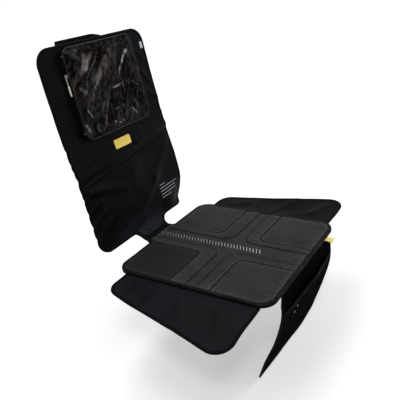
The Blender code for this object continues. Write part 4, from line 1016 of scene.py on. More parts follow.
hem = addCloth("pocket_hem", cutCloth(hemLine, 0.003), onFront, hemBase, lambda x, s: hemBase(x, s) + net["hemThick"],
               blackTapeAndShadow, slot="edge_tape", nodes=["pocket_hem_band"])
sewn = [sewLine(np.linspace(-0.164, 0.164, 90), net["top"] + drop, net["hemThick"] + 0.0001,
                lambda x, s, n: onFront(x, s, n + hemBase(x, s))) for drop in (0.0020, 0.0100)]
sayCloth(hemLine, [addStitches("pocket_hem", *sewn)])

# Press studs: turned caps with a rolled rim and a dimple.
stud = {"radius": 0.0029, "sides": 28,
        "section": [(0.0, 0.0), (1.0, 0.0), (1.06, 0.0003), (1.06, 0.0007), (1.0, 0.0010), (0.86, 0.0011),
                    (0.72, 0.0010), (0.60, 0.0013), (0.42, 0.0017), (0.24, 0.0018), (0.10, 0.0016), (0.0, 0.0015)]}
for name, (x, s) in {"press_stud_upper": (-0.0950, 0.0655), "press_stud_lower": (-0.1090, 0.0765)}.items():
    angles, section = ringAngles(stud["sides"]), np.array(stud["section"][1:-1])
    sx = x + stud["radius"] * section[:, None, 0] * np.cos(angles)
    ss = s + stud["radius"] * section[:, None, 0] * np.sin(angles)
    foot = float(netRise(np.array(x), np.array(s))) + net["thick"] + 0.0006
    sn = np.broadcast_to(foot + section[:, None, 1], sx.shape)
    sx, ss, sn = (np.append(a.ravel(), end) for a, end in ((sx, x), (ss, s), (sn, foot + stud["section"][-1][1])))
    addPiece(name + "_cap", onFront(sx, ss, sn), domeFaces(len(section), stud["sides"]), studMetal, slot="stud_metal",
             nodes=[name])

# Corner tag: a ribbon folded over once, its two ends in the front seam, opened a little at the fold.
ribbon = {"left": 0.1340, "right": 0.1560, "root": -0.2439, "length": 0.0225, "loop": 0.0016, "thick": 0.0007,
          "sag": 0.0026, "level": 0.003, "sway": (0.0012, 3.0), "ripple": (0.0014, 0.145, 0.0075)}
run = np.linspace(0.0, 1.0, 22)
turns = np.linspace(math.pi / 2.0, 3.0 * math.pi / 2.0, 12)
tip = ribbon["root"] - ribbon["length"] + ribbon["loop"]
runY = np.concatenate([ribbon["root"] + (tip - ribbon["root"]) * run, tip + ribbon["loop"] * np.cos(turns)[1:-1],
                       tip + (ribbon["root"] - tip) * run])
loopHalf = ribbon["loop"] * (0.35 + 0.65 * run ** 1.5)
runZ = np.concatenate([loopHalf, ribbon["loop"] * np.sin(turns)[1:-1], -loopHalf[::-1]])
wide = np.linspace(ribbon["left"], ribbon["right"], 14)
share = (ribbon["root"] - runY) / ribbon["length"]
ribbonX = wide[:, None] + ribbon["sway"][0] * np.sin(share * ribbon["sway"][1])
ripple, middle, reach = ribbon["ripple"]
ribbonZ = ribbon["level"] + runZ + share ** 2 * (-ribbon["sag"] + ripple * np.sin((wide[:, None] - middle) / reach))
ribbonPoints = np.stack([ribbonX, np.broadcast_to(runY, ribbonX.shape), ribbonZ], axis=2)
inner = np.cross(np.gradient(ribbonPoints, axis=1), np.gradient(ribbonPoints, axis=0))
inner = ribbonPoints - unit(inner) * ribbon["thick"]
rows, columns = ribbonX.shape
along = np.concatenate([[0.0], np.cumsum(np.hypot(np.diff(runY), np.diff(runZ)))])
cutMap = np.stack([np.repeat(wide, columns), np.tile(along, rows)], axis=1)
tag = addPiece("corner_ribbon", np.concatenate([ribbonPoints.reshape(-1, 3), inner.reshape(-1, 3)]),
               bothSides(gridCells(rows, columns), rows * columns), ribbonCloth, np.tile(cutMap, (2, 1)),
               slot="yellow_ribbon", nodes=["corner_tag"])
print("flaps done")

# Backrest: lower and upper front panels, the lining behind them, and the tape round all three.
edge, top, corner = backCut["halfWidth"], backCut["height"], backCut["topCorner"]


def seamAt(x):
    return seamLine["level"] + seamLine["slope"] * x


backCorners = [(backCut["neckHalf"], -neckLength, 0.0), (backCut["neckHalf"], 0.0, backCut["neckFillet"] + 0.008),
               (edge, 0.0, backCut["bottomCorner"] + 0.016), (edge, top, corner), (-edge, top, corner),
               (-edge, 0.0, backCut["bottomCorner"]), (-backCut["neckHalf"], 0.0, backCut["neckFillet"] - 0.010),
               (-backCut["neckHalf"], -neckLength, 0.0)]
# Painted light on the back's cloth: paler and bluer over its foot, lit from above, and a painted sheen streak above it.
footLight = {"most": 4.0, "top": (0.080, -0.12), "middle": -0.030, "side": (0.135, -0.07)}
sheenStreak = {"most": 0.9, "middle": 0.034, "half": 0.028, "low": (0.08, 0.05), "high": (0.235, -0.05)}
seamEnds = [(edge, seamAt(edge) - 0.0003, 0.0), (-edge, seamAt(-edge) - 0.0003, 0.0)]
lowerCorners = backCorners[:3] + seamEnds + backCorners[5:]
upperCorners = [(edge, seamAt(edge), 0.0), (edge, top, corner), (-edge, top, corner), (-edge, seamAt(-edge), 0.0)]
backOutline = traceOutline(backCorners)[0]
for name, corners in (("back_panel_lower", lowerCorners), ("back_panel_upper", upperCorners)):
    outline = traceOutline(corners)[0]
    cut = cutCloth(outline, 0.0032)
    x, v = cut[0].T
    footLit = footLight["most"] * ramp(v, *footLight["top"]) * ramp(np.abs(x - footLight["middle"]), *footLight["side"])
    streakLit = sheenStreak["most"] * np.exp(-((x - sheenStreak["middle"]) / sheenStreak["half"]) ** 2)
    streakLit = streakLit * ramp(v, *sheenStreak["low"]) * ramp(v, *sheenStreak["high"])
    # Real wear along the rim, and the painted light of the foot and the streak.
    wearAndLight = np.maximum(rubbedRim(cut[0], backOutline, 0.006), np.tile(footLit + streakLit, 2))
    panel = addCloth(name + "_cloth", cut, onBack, -0.003, 0.0, panelCloth, wearAndLight, slot="panel_cloth", nodes=[name])
    sayCloth(outline)
cut = cutCloth(backOutline, 0.0040)
lining = addCloth("back_lining_cloth", cut, onBack, -0.0048, -0.0033, liningCloth,
                  rubbedRim(cut[0], backOutline, 0.014), slot="lining_cloth", nodes=["back_lining"])
sayCloth(backOutline)
bindEdge("back_binding", backCorners, onBack, -0.0048, 0.0)

# The slanted seam's tape with a double row of stitches, and the tape over the neck's seam.
seamTape = {"half": 0.0045, "reach": 0.2082, "thick": 0.0008, "crown": 0.0055, "rows": (-0.0030, 0.0030, -0.0085),
            "sewnHalf": 0.205, "shadowHalf": 0.2060, "shadowDrop": 0.0052, "shadowCord": 0.0011}
leftEnd, rightEnd = seamAt(-seamTape["reach"]), seamAt(seamTape["reach"])
corners = [(-seamTape["reach"], leftEnd - seamTape["half"], 0.0), (seamTape["reach"], rightEnd - seamTape["half"], 0.0),
           (seamTape["reach"], rightEnd + seamTape["half"], 0.0), (-seamTape["reach"], leftEnd + seamTape["half"], 0.0)]
outline = traceOutline(corners)[0]
cut = cutCloth(outline, 0.0020)
# Painted highlight: the tape's upper half is paler, as the lit ridge above the seam.
upper = np.tile(2.0 * easeIn((cut[0][:, 1] - seamAt(cut[0][:, 0])) / seamTape["half"]), 2)
tapeOver = addCloth("back_seam_strip", cut, onBack, 0.0003,
                    lambda x, v: 0.0006 + seamTape["thick"] * (1.0 - ((v - seamAt(x)) / seamTape["crown"]) ** 2),
                    edgeTape, upper, slot="edge_tape", nodes=["back_seam_tape"])
xs = np.linspace(-seamTape["sewnHalf"], seamTape["sewnHalf"], 110)
sewn = [sewLine(xs, seamAt(xs) + off, 0.0002 if off < -seamTape["half"] else 0.0010, onBack)
        for off in seamTape["rows"]]
# Painted shadow: a thin black cord just below the seam tape stands for the seam's dark shade.
xs = np.linspace(-seamTape["shadowHalf"], seamTape["shadowHalf"], 120)
addPiece("back_seam_shadow_cord", *carryTube(onBack(xs, seamAt(xs) - seamTape["shadowDrop"], np.full(120, 0.0004)),
                                      seamTape["shadowCord"], 6), blackTapeAndShadow, slot="edge_tape")
sayCloth(outline, [addStitches("back_seam", *sewn)])

neckStrip = {"half": 0.0492, "length": 0.0198, "thick": 0.0008, "rows": (0.0026, 0.0172), "sewnHalf": 0.048,
             "line": ((0.2334, 0.0119), (0.2395, 0.0119), (0.2415, 0.0123), (0.2434, 0.0131), (0.2528, 0.0164))}


def onNeckSeam(x, s, n):
    # Flat on the seat's tab, then up along the neck past a soft crease.
    return besideLine(x, s, n, walkLine(np.array(neckStrip["line"]), 1.0))


outline = traceOutline(boxCorners(-neckStrip["half"], 0.0, neckStrip["half"], neckStrip["length"]), 0.002)[0]
neckTape = addCloth("neck_seam_strip", cutCloth(outline, 0.0016), onNeckSeam, 0.0, neckStrip["thick"], edgeTape,
                    slot="edge_tape", nodes=["neck_seam_tape"])
xs = np.linspace(-neckStrip["sewnHalf"], neckStrip["sewnHalf"], 30)
sewn = [sewLine(xs, s, neckStrip["thick"] + 0.0001, onNeckSeam) for s in neckStrip["rows"]]
sayCloth(outline, [addStitches("neck_seam", *sewn)])

# The plain patch, the plain stripes and the side tag.
patch = {"half": (0.036, 0.014), "middle": 0.273, "corner": 0.005, "foot": 0.0004, "thick": 0.0013, "edge": 0.0008,
         "sink": 0.0005, "field": (0.0022, 0.0008)}
patchLine = traceOutline(boxCorners(-patch["half"][0], patch["middle"] - patch["half"][1], patch["half"][0],
                                    patch["middle"] + patch["half"][1], patch["corner"]), 0.001)[0]


def patchTop(x, v):
    # A raised welt round the rim and a level field inside it.
    depth = depthInside(np.stack([x, v], axis=1), patchLine)[0]
    welt = patch["foot"] + patch["thick"] * easeIn(depth / patch["edge"])
    return welt - patch["sink"] * ramp(depth, *patch["field"])


addCloth("yellow_field", cutCloth(patchLine, 0.0007), onBack, 0.0002, patchTop, yellowRubber, slot="yellow_rubber",
         nodes=["yellow_patch"])

stripes = {"left": 0.096, "top": 0.090, "pitch": 0.0105, "height": 0.0027,
           "lengths": (0.030, 0.095, 0.085, 0.088, 0.052)}
shapes = []
for row, length in enumerate(stripes["lengths"]):
    low = stripes["top"] - row * stripes["pitch"]
    outline = traceOutline(boxCorners(stripes["left"], low, stripes["left"] + length, low + stripes["height"],
                                      stripes["height"] * 0.45), 0.001)[0]
    shapes.append(thickCloth(cutCloth(outline, 0.0012), onBack, 0.0001, 0.0005)[:2])
addPiece("print_stripes", *joinShapes(*shapes), palePrint, slot="pale_print", nodes=["print_bars"])

sideTag = {"box": (0.1962, 0.515, 0.2082, 0.535), "ribs": 900.0,
           "sewing": {"pitch": 0.0019, "stitch": 0.0013, "thread": 0.0002}}
tagPoints, tagOuts = traceOutline(boxCorners(*sideTag["box"]), 0.001)
woven = addCloth("woven_side_tag", cutCloth(tagPoints, 0.001), onBack, 0.0003,
                 lambda x, v: 0.0010 + 0.0003 * np.sin(v * sideTag["ribs"]), tagCloth, slot="woven_tag",
                 nodes=["side_tag"])
tagSewn = sewRow(tagPoints, tagOuts, -0.0012, 0.0012, onBack, True, sideTag["sewing"])
tagStitches = addPiece("side_tag_stitches", *tagSewn, tagCloth, slot="woven_tag")
sayCloth(tagPoints, [tagStitches])

# Clear pocket: a cloth wall with the zip's slot, piping and slack clear film.
pocket = {"half": 0.140, "low": 0.318, "high": 0.566, "corner": 0.022, "depth": 0.016, "wall": 0.0012,
          "piping": 0.0014, "filmFoot": 0.0163, "filmThick": 0.0005, "zipLow": 0.336, "zipHigh": 0.550,
          "zipLevel": 0.00815, "zipHalf": 0.0050, "slack": 0.0006, "slackCell": 0.02, "slackFrom": (0.004, 0.01)}
pocketCorners = boxCorners(-pocket["half"], pocket["low"], pocket["half"], pocket["high"], pocket["corner"])
pocketPoints, pocketOuts = traceOutline(pocketCorners, 0.0025)
pocketRing, pocketWays = (np.concatenate([array, array[:1]]) for array in (pocketPoints, pocketOuts))
pocketRun = pathRun(pocketRing)


def onWall(u, w, n):
    # Round the pocket's outline by u, up its wall by w and out from it by n; the wall is a little slack off the zip.
    x, v = (np.interp(u, pocketRun, pocketRing[:, k]) for k in (0, 1))
    way = unit(np.stack([np.interp(u, pocketRun, pocketWays[:, k]) for k in (0, 1)], axis=-1))
    slack = pocket["slack"] * softNoise(u, w, pocket["slackCell"], 51)
    slack = slack * easeIn((0.5 - np.abs(w / pocket["depth"] - 0.5)) * 3.0)
    slack = slack * ramp(x + pocket["half"], *pocket["slackFrom"])
    return onBack(x + way[..., 0] * (n + slack), v + way[..., 1] * (n + slack), w)


def zipSlot(middles):
    # True for the wall's cells that the zip takes the place of.
    u, w = middles.T
    x, v = (np.interp(u, pocketRun, pocketRing[:, k]) for k in (0, 1))
    beside = (v > pocket["zipLow"]) & (v < pocket["zipHigh"]) & (x < -pocket["half"] + 0.003)
    return beside & (np.abs(w - pocket["zipLevel"]) < pocket["zipHalf"])


wallLine = traceOutline(boxCorners(0.0, 0.0003, pocketRun[-1], pocket["depth"]), 0.002)[0]
wall = addCloth("pocket_wall", cutCloth(wallLine, 0.0015, zipSlot), onWall, -pocket["wall"], 0.0, panelCloth,
                slot="panel_cloth", nodes=["pocket_gusset"])
wallStitches = addStitches("pocket_wall", sewRow(pocketPoints, pocketOuts, 0.0034, 0.0003, onBack, True))

section = [(0.0003 + pocket["piping"] * (1.0 + math.cos(a)), pocket["depth"] + pocket["piping"] * math.sin(a))
           for a in ringAngles(10)]
laid, faces, cutMap = carryProfile(pocketPoints, pocketOuts, section, onBack, True)
addPiece("film_piping", laid, faces, pipingPlastic, cutMap, slot="piping_plastic", nodes=["window_piping"])

# Creases of the film as (x0, v0, x1, v1, width, height), sharper than folds of cloth.
filmCreases = [(0.118, 0.545, 0.048, 0.436, 0.0060, 0.0050), (0.070, 0.550, 0.012, 0.428, 0.0080, -0.0034),
               (0.030, 0.552, -0.045, 0.392, 0.0090, 0.0052), (-0.012, 0.552, -0.075, 0.440, 0.0070, -0.0030),
               (-0.052, 0.550, -0.098, 0.470, 0.0080, 0.0048), (0.000, 0.430, 0.088, 0.448, 0.0050, 0.0040),
               (-0.020, 0.470, -0.038, 0.335, 0.0070, 0.0040), (-0.112, 0.540, -0.122, 0.440, 0.0070, 0.0034),
               (0.062, 0.420, 0.008, 0.340, 0.0065, 0.0036), (0.112, 0.425, 0.060, 0.335, 0.0065, 0.0034),
               (-0.072, 0.420, -0.062, 0.335, 0.0070, 0.0036), (-0.125, 0.400, -0.088, 0.335, 0.0060, 0.0034),
               (-0.100, 0.350, -0.030, 0.328, 0.0045, 0.0030), (0.030, 0.332, 0.105, 0.344, 0.0045, 0.0028),
               (-0.128, 0.556, 0.000, 0.546, 0.0050, 0.0024)]
# Painted glare along the creases, as milky marks (x0, v0, x1, v1, width, strength).
glareMarks = [(-0.052, 0.534, -0.098, 0.496, 0.0060, 0.30), (-0.072, 0.537, -0.090, 0.512, 0.0040, 0.26),
             (0.022, 0.526, -0.040, 0.475, 0.0100, 0.115), (-0.040, 0.472, -0.087, 0.424, 0.0042, 0.085),
             (-0.019, 0.536, -0.085, 0.479, 0.0022, 0.12), (-0.085, 0.479, -0.101, 0.446, 0.0024, 0.12),
             (0.094, 0.521, 0.072, 0.498, 0.0026, 0.55), (0.072, 0.497, 0.036, 0.456, 0.0024, 0.40),
             (0.006, 0.431, 0.045, 0.440, 0.0018, 0.55), (0.044, 0.440, 0.046, 0.430, 0.0016, 0.35),
             (0.098, 0.500, 0.120, 0.440, 0.0130, 0.035), (0.073, 0.431, 0.095, 0.432, 0.0016, 0.10),
             (0.095, 0.431, 0.113, 0.417, 0.0016, 0.10), (-0.120, 0.398, -0.108, 0.376, 0.0020, 0.55),
             (-0.135, 0.357, -0.127, 0.326, 0.0026, 0.30), (-0.038, 0.394, -0.070, 0.336, 0.0040, 0.14),
             (0.079, 0.383, 0.088, 0.356, 0.0060, 0.085), (0.047, 0.378, 0.024, 0.338, 0.0018, 0.20),
             (-0.014, 0.373, 0.023, 0.377, 0.0020, 0.16), (-0.126, 0.556, -0.096, 0.530, 0.0070, 0.05),
             (-0.120, 0.461, -0.103, 0.442, 0.0050, 0.09), (0.036, 0.470, -0.044, 0.402, 0.0050, 0.05),
             (-0.085, 0.417, -0.105, 0.391, 0.0030, 0.11), (0.060, 0.356, 0.076, 0.340, 0.0030, 0.20),
             (-0.100, 0.350, -0.094, 0.334, 0.0030, 0.12), (0.134, 0.470, 0.131, 0.425, 0.0014, 0.22),
             (0.100, 0.545, 0.020, 0.548, 0.0040, 0.04), (-0.024, 0.340, -0.020, 0.338, 0.0018, 0.50),
             (-0.008, 0.334, -0.004, 0.333, 0.0016, 0.40), (0.006, 0.336, 0.010, 0.336, 0.0018, 0.45)]
filmForm = {"slant": math.radians(60.0), "level": 0.44, "slack": 0.0042, "bend": 0.010, "crests": 0.0019,
            "facets": 0.0006, "crumple": 0.0006, "lowest": -0.0035, "sewn": 0.014, "marks": 0.95, "haze": 0.004,
            "glareStreaks": 0.008, "plates": 0.050, "plateEdge": (0.12, 0.12), "crumpledLow": (0.400, -0.05),
            "crumpledSide": (-0.060, -0.03), "crumpledTop": (0.480, 0.03)}


def alongSlant(x, v):
    # Places across and along the slant that most of the film's creases follow.
    sine, cosine, level = math.sin(filmForm["slant"]), math.cos(filmForm["slant"]), v - filmForm["level"]
    return x * sine - level * cosine, x * cosine + level * sine


def filmGlare(x, v):
    # Painted glare: marks frayed by fine noise, over faint streaks and larger plates of painted haze that follow the
    # slant of the creases.
    across, along = alongSlant(x, v)
    glareStreak = np.clip(softNoise(across + 0.006 * softNoise(x, v, 0.03, 66), along * 0.4, 0.016, 67) + 0.15, 0.0, 1.0)
    frayed = np.clip(1.0 + 1.0 * softNoise(across, along * 0.5, 0.0060, 68), 0.25, 1.6)
    bent = foldHeight(x + 0.003 * softNoise(x, v, 0.02, 69), v + 0.003 * softNoise(x, v, 0.02, 70), glareMarks)
    plates = softNoise(across + 0.004 * softNoise(x, v, 0.02, 71), along * 0.35, 0.024, 63)
    plates = ramp(plates, *filmForm["plateEdge"])
    haze = filmForm["haze"] + filmForm["glareStreaks"] * glareStreak + filmForm["plates"] * plates * (0.35 + 0.65 * glareStreak)
    return np.clip((filmForm["marks"] * bent + haze) * frayed, 0.0, 1.0)


def ridge(noise, sharpness):
    # One along a noise's zero lines, falling off to both sides, with a crest rounded enough for the mesh.
    return 1.0 - sharpness * (np.sqrt(noise * noise + 0.012) - 0.11)


def filmRise(x, v):
    # A slack dome, long slanted creases with sharp crests, and small crumples that fade where the film is sewn.
    depth = depthInside(np.stack([x, v], axis=1), pocketPoints)[0]
    across, along = alongSlant(x, v)
    across = across + filmForm["bend"] * softNoise(x, v, 0.09, 61)
    crests = ridge(softNoise(across, along * 0.20, 0.026, 62), 1.8)
    facets = ridge(softNoise(across + 0.25 * along, along * 0.35, 0.022, 63), 2.0)
    crumple = ridge(softNoise(x, v, 0.0110, 64), 2.0)
    patchy = ramp(x, *filmForm["crumpledSide"]) * ramp(v, *filmForm["crumpledTop"])
    patchy = ramp(v, *filmForm["crumpledLow"]) + patchy
    rise = filmForm["slack"] + filmForm["crests"] * crests + filmForm["facets"] * facets
    rise = rise + filmForm["crumple"] * crumple * np.clip(patchy, 0.0, 1.0) + foldHeight(x, v, filmCreases)
    return np.maximum(rise, filmForm["lowest"]) * easeIn(depth / filmForm["sewn"])


film = cutCloth(pocketPoints, 0.0018)
window = addCloth("clear_window", film, onBack, lambda x, v: pocket["filmFoot"] + filmRise(x, v),
                  lambda x, v: pocket["filmFoot"] + pocket["filmThick"] + filmRise(x, v), clearFilm,
                  np.tile(filmGlare(*film[0].T), 2), slot="clear_film", nodes=["pocket_window"], sharp=75.0)
sayCloth(pocketPoints)
print("backrest done")

# Zip: two woven tapes, a closed nylon coil, end stops, the slider with its bail, and the pull.
zipper = {"low": 0.3363, "high": 0.5497, "level": 0.00815, "wall": -0.140, "near": 0.0019, "far": 0.0049,
          "tape": 0.0011, "sewn": 0.0024, "pitch": 0.0018, "wire": 0.00036, "stop": 0.003, "slider": 0.498,
          "coilOff": 0.00055, "coilHalf": 0.00085, "coilDeep": 0.00105, "coilSides": 5}
onTheWall = [wallStitches]
for name, side in (("front", 1.0), ("rear", -1.0)):
    a, b = sorted(zipper["level"] + side * zipper[key] for key in ("near", "far"))
    outline = traceOutline(boxCorners(zipper["low"], a, zipper["high"], b), 0.002)[0]
    strip = addCloth("zip_tape_" + name + "_strip", cutCloth(outline, 0.001), lambda v, n, x: onBack(x, v, n),
                     zipper["wall"], zipper["wall"] + zipper["tape"], edgeTape, slot="edge_tape",
                     nodes=["zip_tape_" + name])
    row = sewLine(np.linspace(zipper["low"] + 0.001, zipper["high"] - 0.001, 60),
                  zipper["level"] + side * zipper["sewn"], 0.0001,
                  lambda v, n, lift: onBack(zipper["wall"] - lift, v, n))
    onTheWall += [strip, addStitches("zip_" + name, row)]

turnsAlong = (zipper["high"] - zipper["low"] - 2.0 * zipper["stop"]) / zipper["pitch"]
shapes = []
for side in (-1.0, 1.0):
    angle = np.linspace(0.0, 2.0 * math.pi * turnsAlong, int(turnsAlong * 11))
    v = zipper["low"] + zipper["stop"] + 0.0004 + angle / (2.0 * math.pi) * zipper["pitch"] * 0.995
    n = zipper["level"] + side * (zipper["coilOff"] + zipper["coilHalf"] * np.cos(angle))
    x = zipper["wall"] - 0.0001 - zipper["coilDeep"] * np.sin(angle)
    shapes.append(carryTube(onBack(x, v, n), zipper["wire"], zipper["coilSides"]))
addPiece("nylon_coil", *joinShapes(*shapes), coilNylon, slot="coil_nylon", nodes=["zip_coil"])


def softBlock(place, low, high, radius, steps=5):
    # A block with every edge rounded: its rows are rounded rectangles that draw in by a quarter circle at both ends.
    low, high = np.array(low), np.array(high)
    middle, half = (low + high) / 2.0, (high - low) / 2.0
    lifts = np.sin(np.linspace(-math.pi / 2.0, math.pi / 2.0, 2 * steps))
    draws = 1.0 - np.cos(np.linspace(-math.pi / 2.0, math.pi / 2.0, 2 * steps))
    rows = []
    for lift, draw in zip(lifts, draws):
        level = middle[1] + np.sign(lift) * (half[1] - radius) + lift * radius
        corners = [(middle[0] + a * (half[0] - draw * radius * 0.98), middle[2] + b * (half[2] - draw * radius * 0.98),
                    radius * (1.0 - 0.9 * draw)) for a, b in ((-1, -1), (1, -1), (1, 1), (-1, 1))]
        ring = []
        for cx, cn, r in corners:
            sx, sn = math.copysign(1.0, cx - middle[0]), math.copysign(1.0, cn - middle[2])
            first = math.atan2(sn, sx) - math.pi / 4.0
            turn = first + np.linspace(0.0, math.pi / 2.0, 5)
            ring.append(np.stack([cx - sx * r + r * np.cos(turn), np.full(5, level), cn - sn * r + r * np.sin(turn)],
                                 axis=1))
        rows.append(np.concatenate(ring))
    rows = np.array(rows)
    x, v, n = rows.reshape(-1, 3).T
    return place(x, v, n), tubeFaces(*rows.shape[:2])


level, slide = zipper["level"], zipper["slider"]
for name, low in (("zip_stop_bottom", zipper["low"]), ("zip_stop_top", zipper["high"] - zipper["stop"])):
    addPiece(name + "_clip", *softBlock(onBack, (-0.1417, low, level - 0.0018),
                                        (-0.1385, low + zipper["stop"], level + 0.0018), 0.0005),
             zipMetal, slot="zip_metal", nodes=[name])

# The slider: an outer plate with a waist, two side walls and a round bail over it. Pairs of x run from its outside in.
slider = {"half": 0.005, "edge": 0.0039, "gap": 0.0020, "plate": (-0.1428, -0.14182), "plateRound": 0.00045,
          "walls": (-0.1424, -0.14035), "wallRound": 0.00035, "waist": 0.14, "bailHalf": 0.0036, "bailFoot": -0.1425,
          "bailRise": 0.0048, "bailWire": 0.00062}


def onSlider(x, v, n):
    # The plate narrows towards its lower end, as a slider's does.
    share = (v - slide) / slider["half"]
    return onBack(x, v, level + (n - level) * (1.0 - slider["waist"] + slider["waist"] * easeIn(0.5 + 0.6 * share)))


blocks = [(slider["plate"], -slider["edge"], slider["edge"], slider["plateRound"]),
          (slider["walls"], -slider["edge"], -slider["gap"], slider["wallRound"]),
          (slider["walls"], slider["gap"], slider["edge"], slider["wallRound"])]
blocks = [softBlock(onSlider, (ends[0], slide - slider["half"], level + a),
                    (ends[1], slide + slider["half"], level + b), radius) for ends, a, b, radius in blocks]
lean = np.linspace(-1.0, 1.0, 33)
bailV = slide + slider["bailHalf"] * np.sign(lean) * np.abs(lean) ** 0.55
bailX = slider["bailFoot"] - slider["bailRise"] * (1.0 - np.abs(lean) ** 3.2)
bail = carryTube(onBack(bailX, bailV, np.full(33, level)), slider["bailWire"], 10)
addPiece("zip_slider_body", *joinShapes(*blocks, bail), zipMetal, body="slider", slot="zip_metal", nodes=["zip_slider"])

# The pull: a wire eye round the bail, a thin stem and a thick moulded grip with a ribbed face.
pull = {"axis": -0.1460, "eyeDrop": 0.0040, "eyeHalf": (0.0043, 0.00165), "eyeWire": 0.00052, "gripDrop": 0.0080,
        "gripLength": 0.0463, "rows": 70, "sides": 20, "stem": (0.0012, 0.0007), "grip": (0.0018, 0.0010),
        "swell": (0.36, 0.10), "ribs": 0.05, "ribWaves": 150.0, "ribStart": (0.50, 0.05), "ribEnd": (0.90, -0.05),
        "taper": 0.12, "taperFrom": (0.6, 0.4), "square": 0.62}
turn = np.linspace(0.0, 2.0 * math.pi, 41)[:-1]
eyeV = slide - pull["eyeDrop"] + pull["eyeHalf"][0] * np.sign(np.sin(turn)) * np.abs(np.sin(turn)) ** 0.6
eyeN = level + pull["eyeHalf"][1] * np.sign(np.cos(turn)) * np.abs(np.cos(turn)) ** 0.7
eye = carryTube(onBack(np.full(40, pull["axis"]), eyeV, eyeN), pull["eyeWire"], 8, True)
share = np.linspace(0.0, 1.0, pull["rows"])
gripV = slide - pull["gripDrop"] - share * pull["gripLength"]
swell = ramp(share, *pull["swell"])
tipRound = np.sqrt(np.clip(1.0 - ((share - 0.93) / 0.07).clip(0.0, 0.999) ** 2, 0.0, 1.0))
headRound = np.sqrt(np.clip(1.0 - ((0.03 - share) / 0.03).clip(0.0, 0.97) ** 2, 0.0, 1.0))
ribs = pull["ribs"] * np.sin(share * pull["ribWaves"]) * ramp(share, *pull["ribStart"]) * ramp(share, *pull["ribEnd"])
halfN, halfX = ((stem + grip * swell) * tipRound * headRound for stem, grip in zip(pull["stem"], pull["grip"]))
halfN, halfX = halfN * (1.0 - pull["taper"] * ramp(share, *pull["taperFrom"])), halfX * (1.0 + ribs)
turn = ringAngles(pull["sides"])
squared = lambda wave: np.sign(wave) * np.abs(wave) ** pull["square"]
x = pull["axis"] + halfX[:, None] * squared(np.cos(turn))
n = level + halfN[:, None] * squared(np.sin(turn))
v = np.broadcast_to(gripV[:, None], x.shape)
grip = (onBack(x.ravel(), v.ravel(), n.ravel()), tubeFaces(pull["rows"], pull["sides"]))
addPiece("zip_pull_tab", *joinShapes(eye, grip), pullPlastic, body="pull", slot="pull_plastic", nodes=["zip_pull"])

# Headrest strap: wide webbing from one sewn foot round behind the headrest to the other.
strap = {"foot": 0.111, "side": 0.085, "start": -0.0071, "far": -0.060, "bend": 0.018, "low": 0.516, "tall": 0.050,
         "rise": 0.025, "thick": 0.0020, "aside": 0.013, "lip": 0.003, "lipDrop": 0.0006, "wave": 0.0016,
         "waveCell": 0.05, "belly": 0.0010}
strapCorners = [(-strap["foot"], strap["start"], 0.0), (-strap["side"], strap["start"], strap["bend"] / 2.0),
                (-strap["side"], strap["far"], strap["bend"]), (strap["side"], strap["far"], strap["bend"]),
                (strap["side"], strap["start"], strap["bend"] / 2.0), (strap["foot"], strap["start"], 0.0)]
strapPoints, strapOuts = traceOutline(strapCorners, 0.003, closed=False)
strapRun = pathRun(strapPoints)


def onStrap(u, w, n):
    # Along the loop by u, up the webbing by w and out of the loop by n; it climbs and wavers towards its far side.
    x, depth = (np.interp(u, strapRun, strapPoints[:, k]) for k in (0, 1))
    way = unit(np.stack([np.interp(u, strapRun, strapOuts[:, k]) for k in (0, 1)], axis=-1))
    away = (strap["start"] - depth) / (strap["start"] - strap["far"])
    slack = strap["wave"] * softNoise(u, w, strap["waveCell"], 71)
    slack = (slack + strap["belly"] * np.sin(w / strap["tall"] * math.pi)) * easeIn(away * 2.0)
    off = way * (n + slack)[..., None]
    return onBack(x + off[..., 0] - strap["aside"] * away, strap["low"] + strap["rise"] * away + w, depth + off[..., 1])


strapLine = traceOutline(boxCorners(0.0, 0.0, strapRun[-1], strap["tall"]))[0]
webbing = addCloth("headrest_webbing", cutCloth(strapLine, 0.0025), onStrap, -strap["thick"],
                   lambda u, w: -strap["lipDrop"] * easeIn(1.0 - np.minimum(w, strap["tall"] - w) / strap["lip"]),
                   strapWeb, slot="strap_webbing", nodes=["headrest_strap"])
sayCloth(strapLine)
anchor = {"inner": 0.096, "outer": 0.126, "low": 0.516, "high": 0.566, "corner": 0.002, "rear": -0.0089,
          "front": -0.0074, "sewnIn": 0.003, "threads": -0.0090}
for name, side in (("left", -1.0), ("right", 1.0)):
    a, b = sorted((side * anchor["inner"], side * anchor["outer"]))
    outline = traceOutline(boxCorners(a, anchor["low"], b, anchor["high"], anchor["corner"]), 0.002)[0]
    cover = addCloth("strap_anchor_" + name + "_cloth", cutCloth(outline, 0.0025), onBack, anchor["rear"],
                     anchor["front"], liningCloth, slot="lining_cloth", nodes=["strap_anchor_" + name])
    # Thread runs round the patch and along both its diagonals.
    c, d = a + anchor["sewnIn"], b - anchor["sewnIn"]
    e, f = anchor["low"] + anchor["sewnIn"], anchor["high"] - anchor["sewnIn"]
    lines = [((c, e), (d, e)), ((d, e), (d, f)), ((d, f), (c, f)), ((c, f), (c, e)), ((c, e), (d, f)), ((d, e), (c, f))]
    sewn = [sewLine(*np.array(line).T, anchor["threads"], onBack) for line in lines]
    crossStitches = addStitches("strap_anchor_" + name, *sewn, slot="lining_cloth")
    sayCloth(outline, [crossStitches])
print("zip and strap done")

# Floor, world and soft lamps. Camera, gloss and clear rays see a white studio; everything else gets its plain light.
studio = {"floor": -0.292, "floorHalf": 30.0, "floorColour": (0.80, 0.80, 0.80), "nearLift": 0.36, "farLift": 0.66,
          "liftFrom": 0.3, "liftTo": 3.0, "ambient": 0.50, "white": (1.0, 1.0, 1.0, 1.0)}


def seenRays(shading):
    # One for the rays that see the studio as white, and nought for the others.
    path = addNode(shading, "ShaderNodeLightPath", {})
    seen = maths(shading, "MAXIMUM", path.outputs["Is Camera Ray"], path.outputs["Is Glossy Ray"])
    return maths(shading, "MAXIMUM", seen, path.outputs["Is Transmission Ray"])


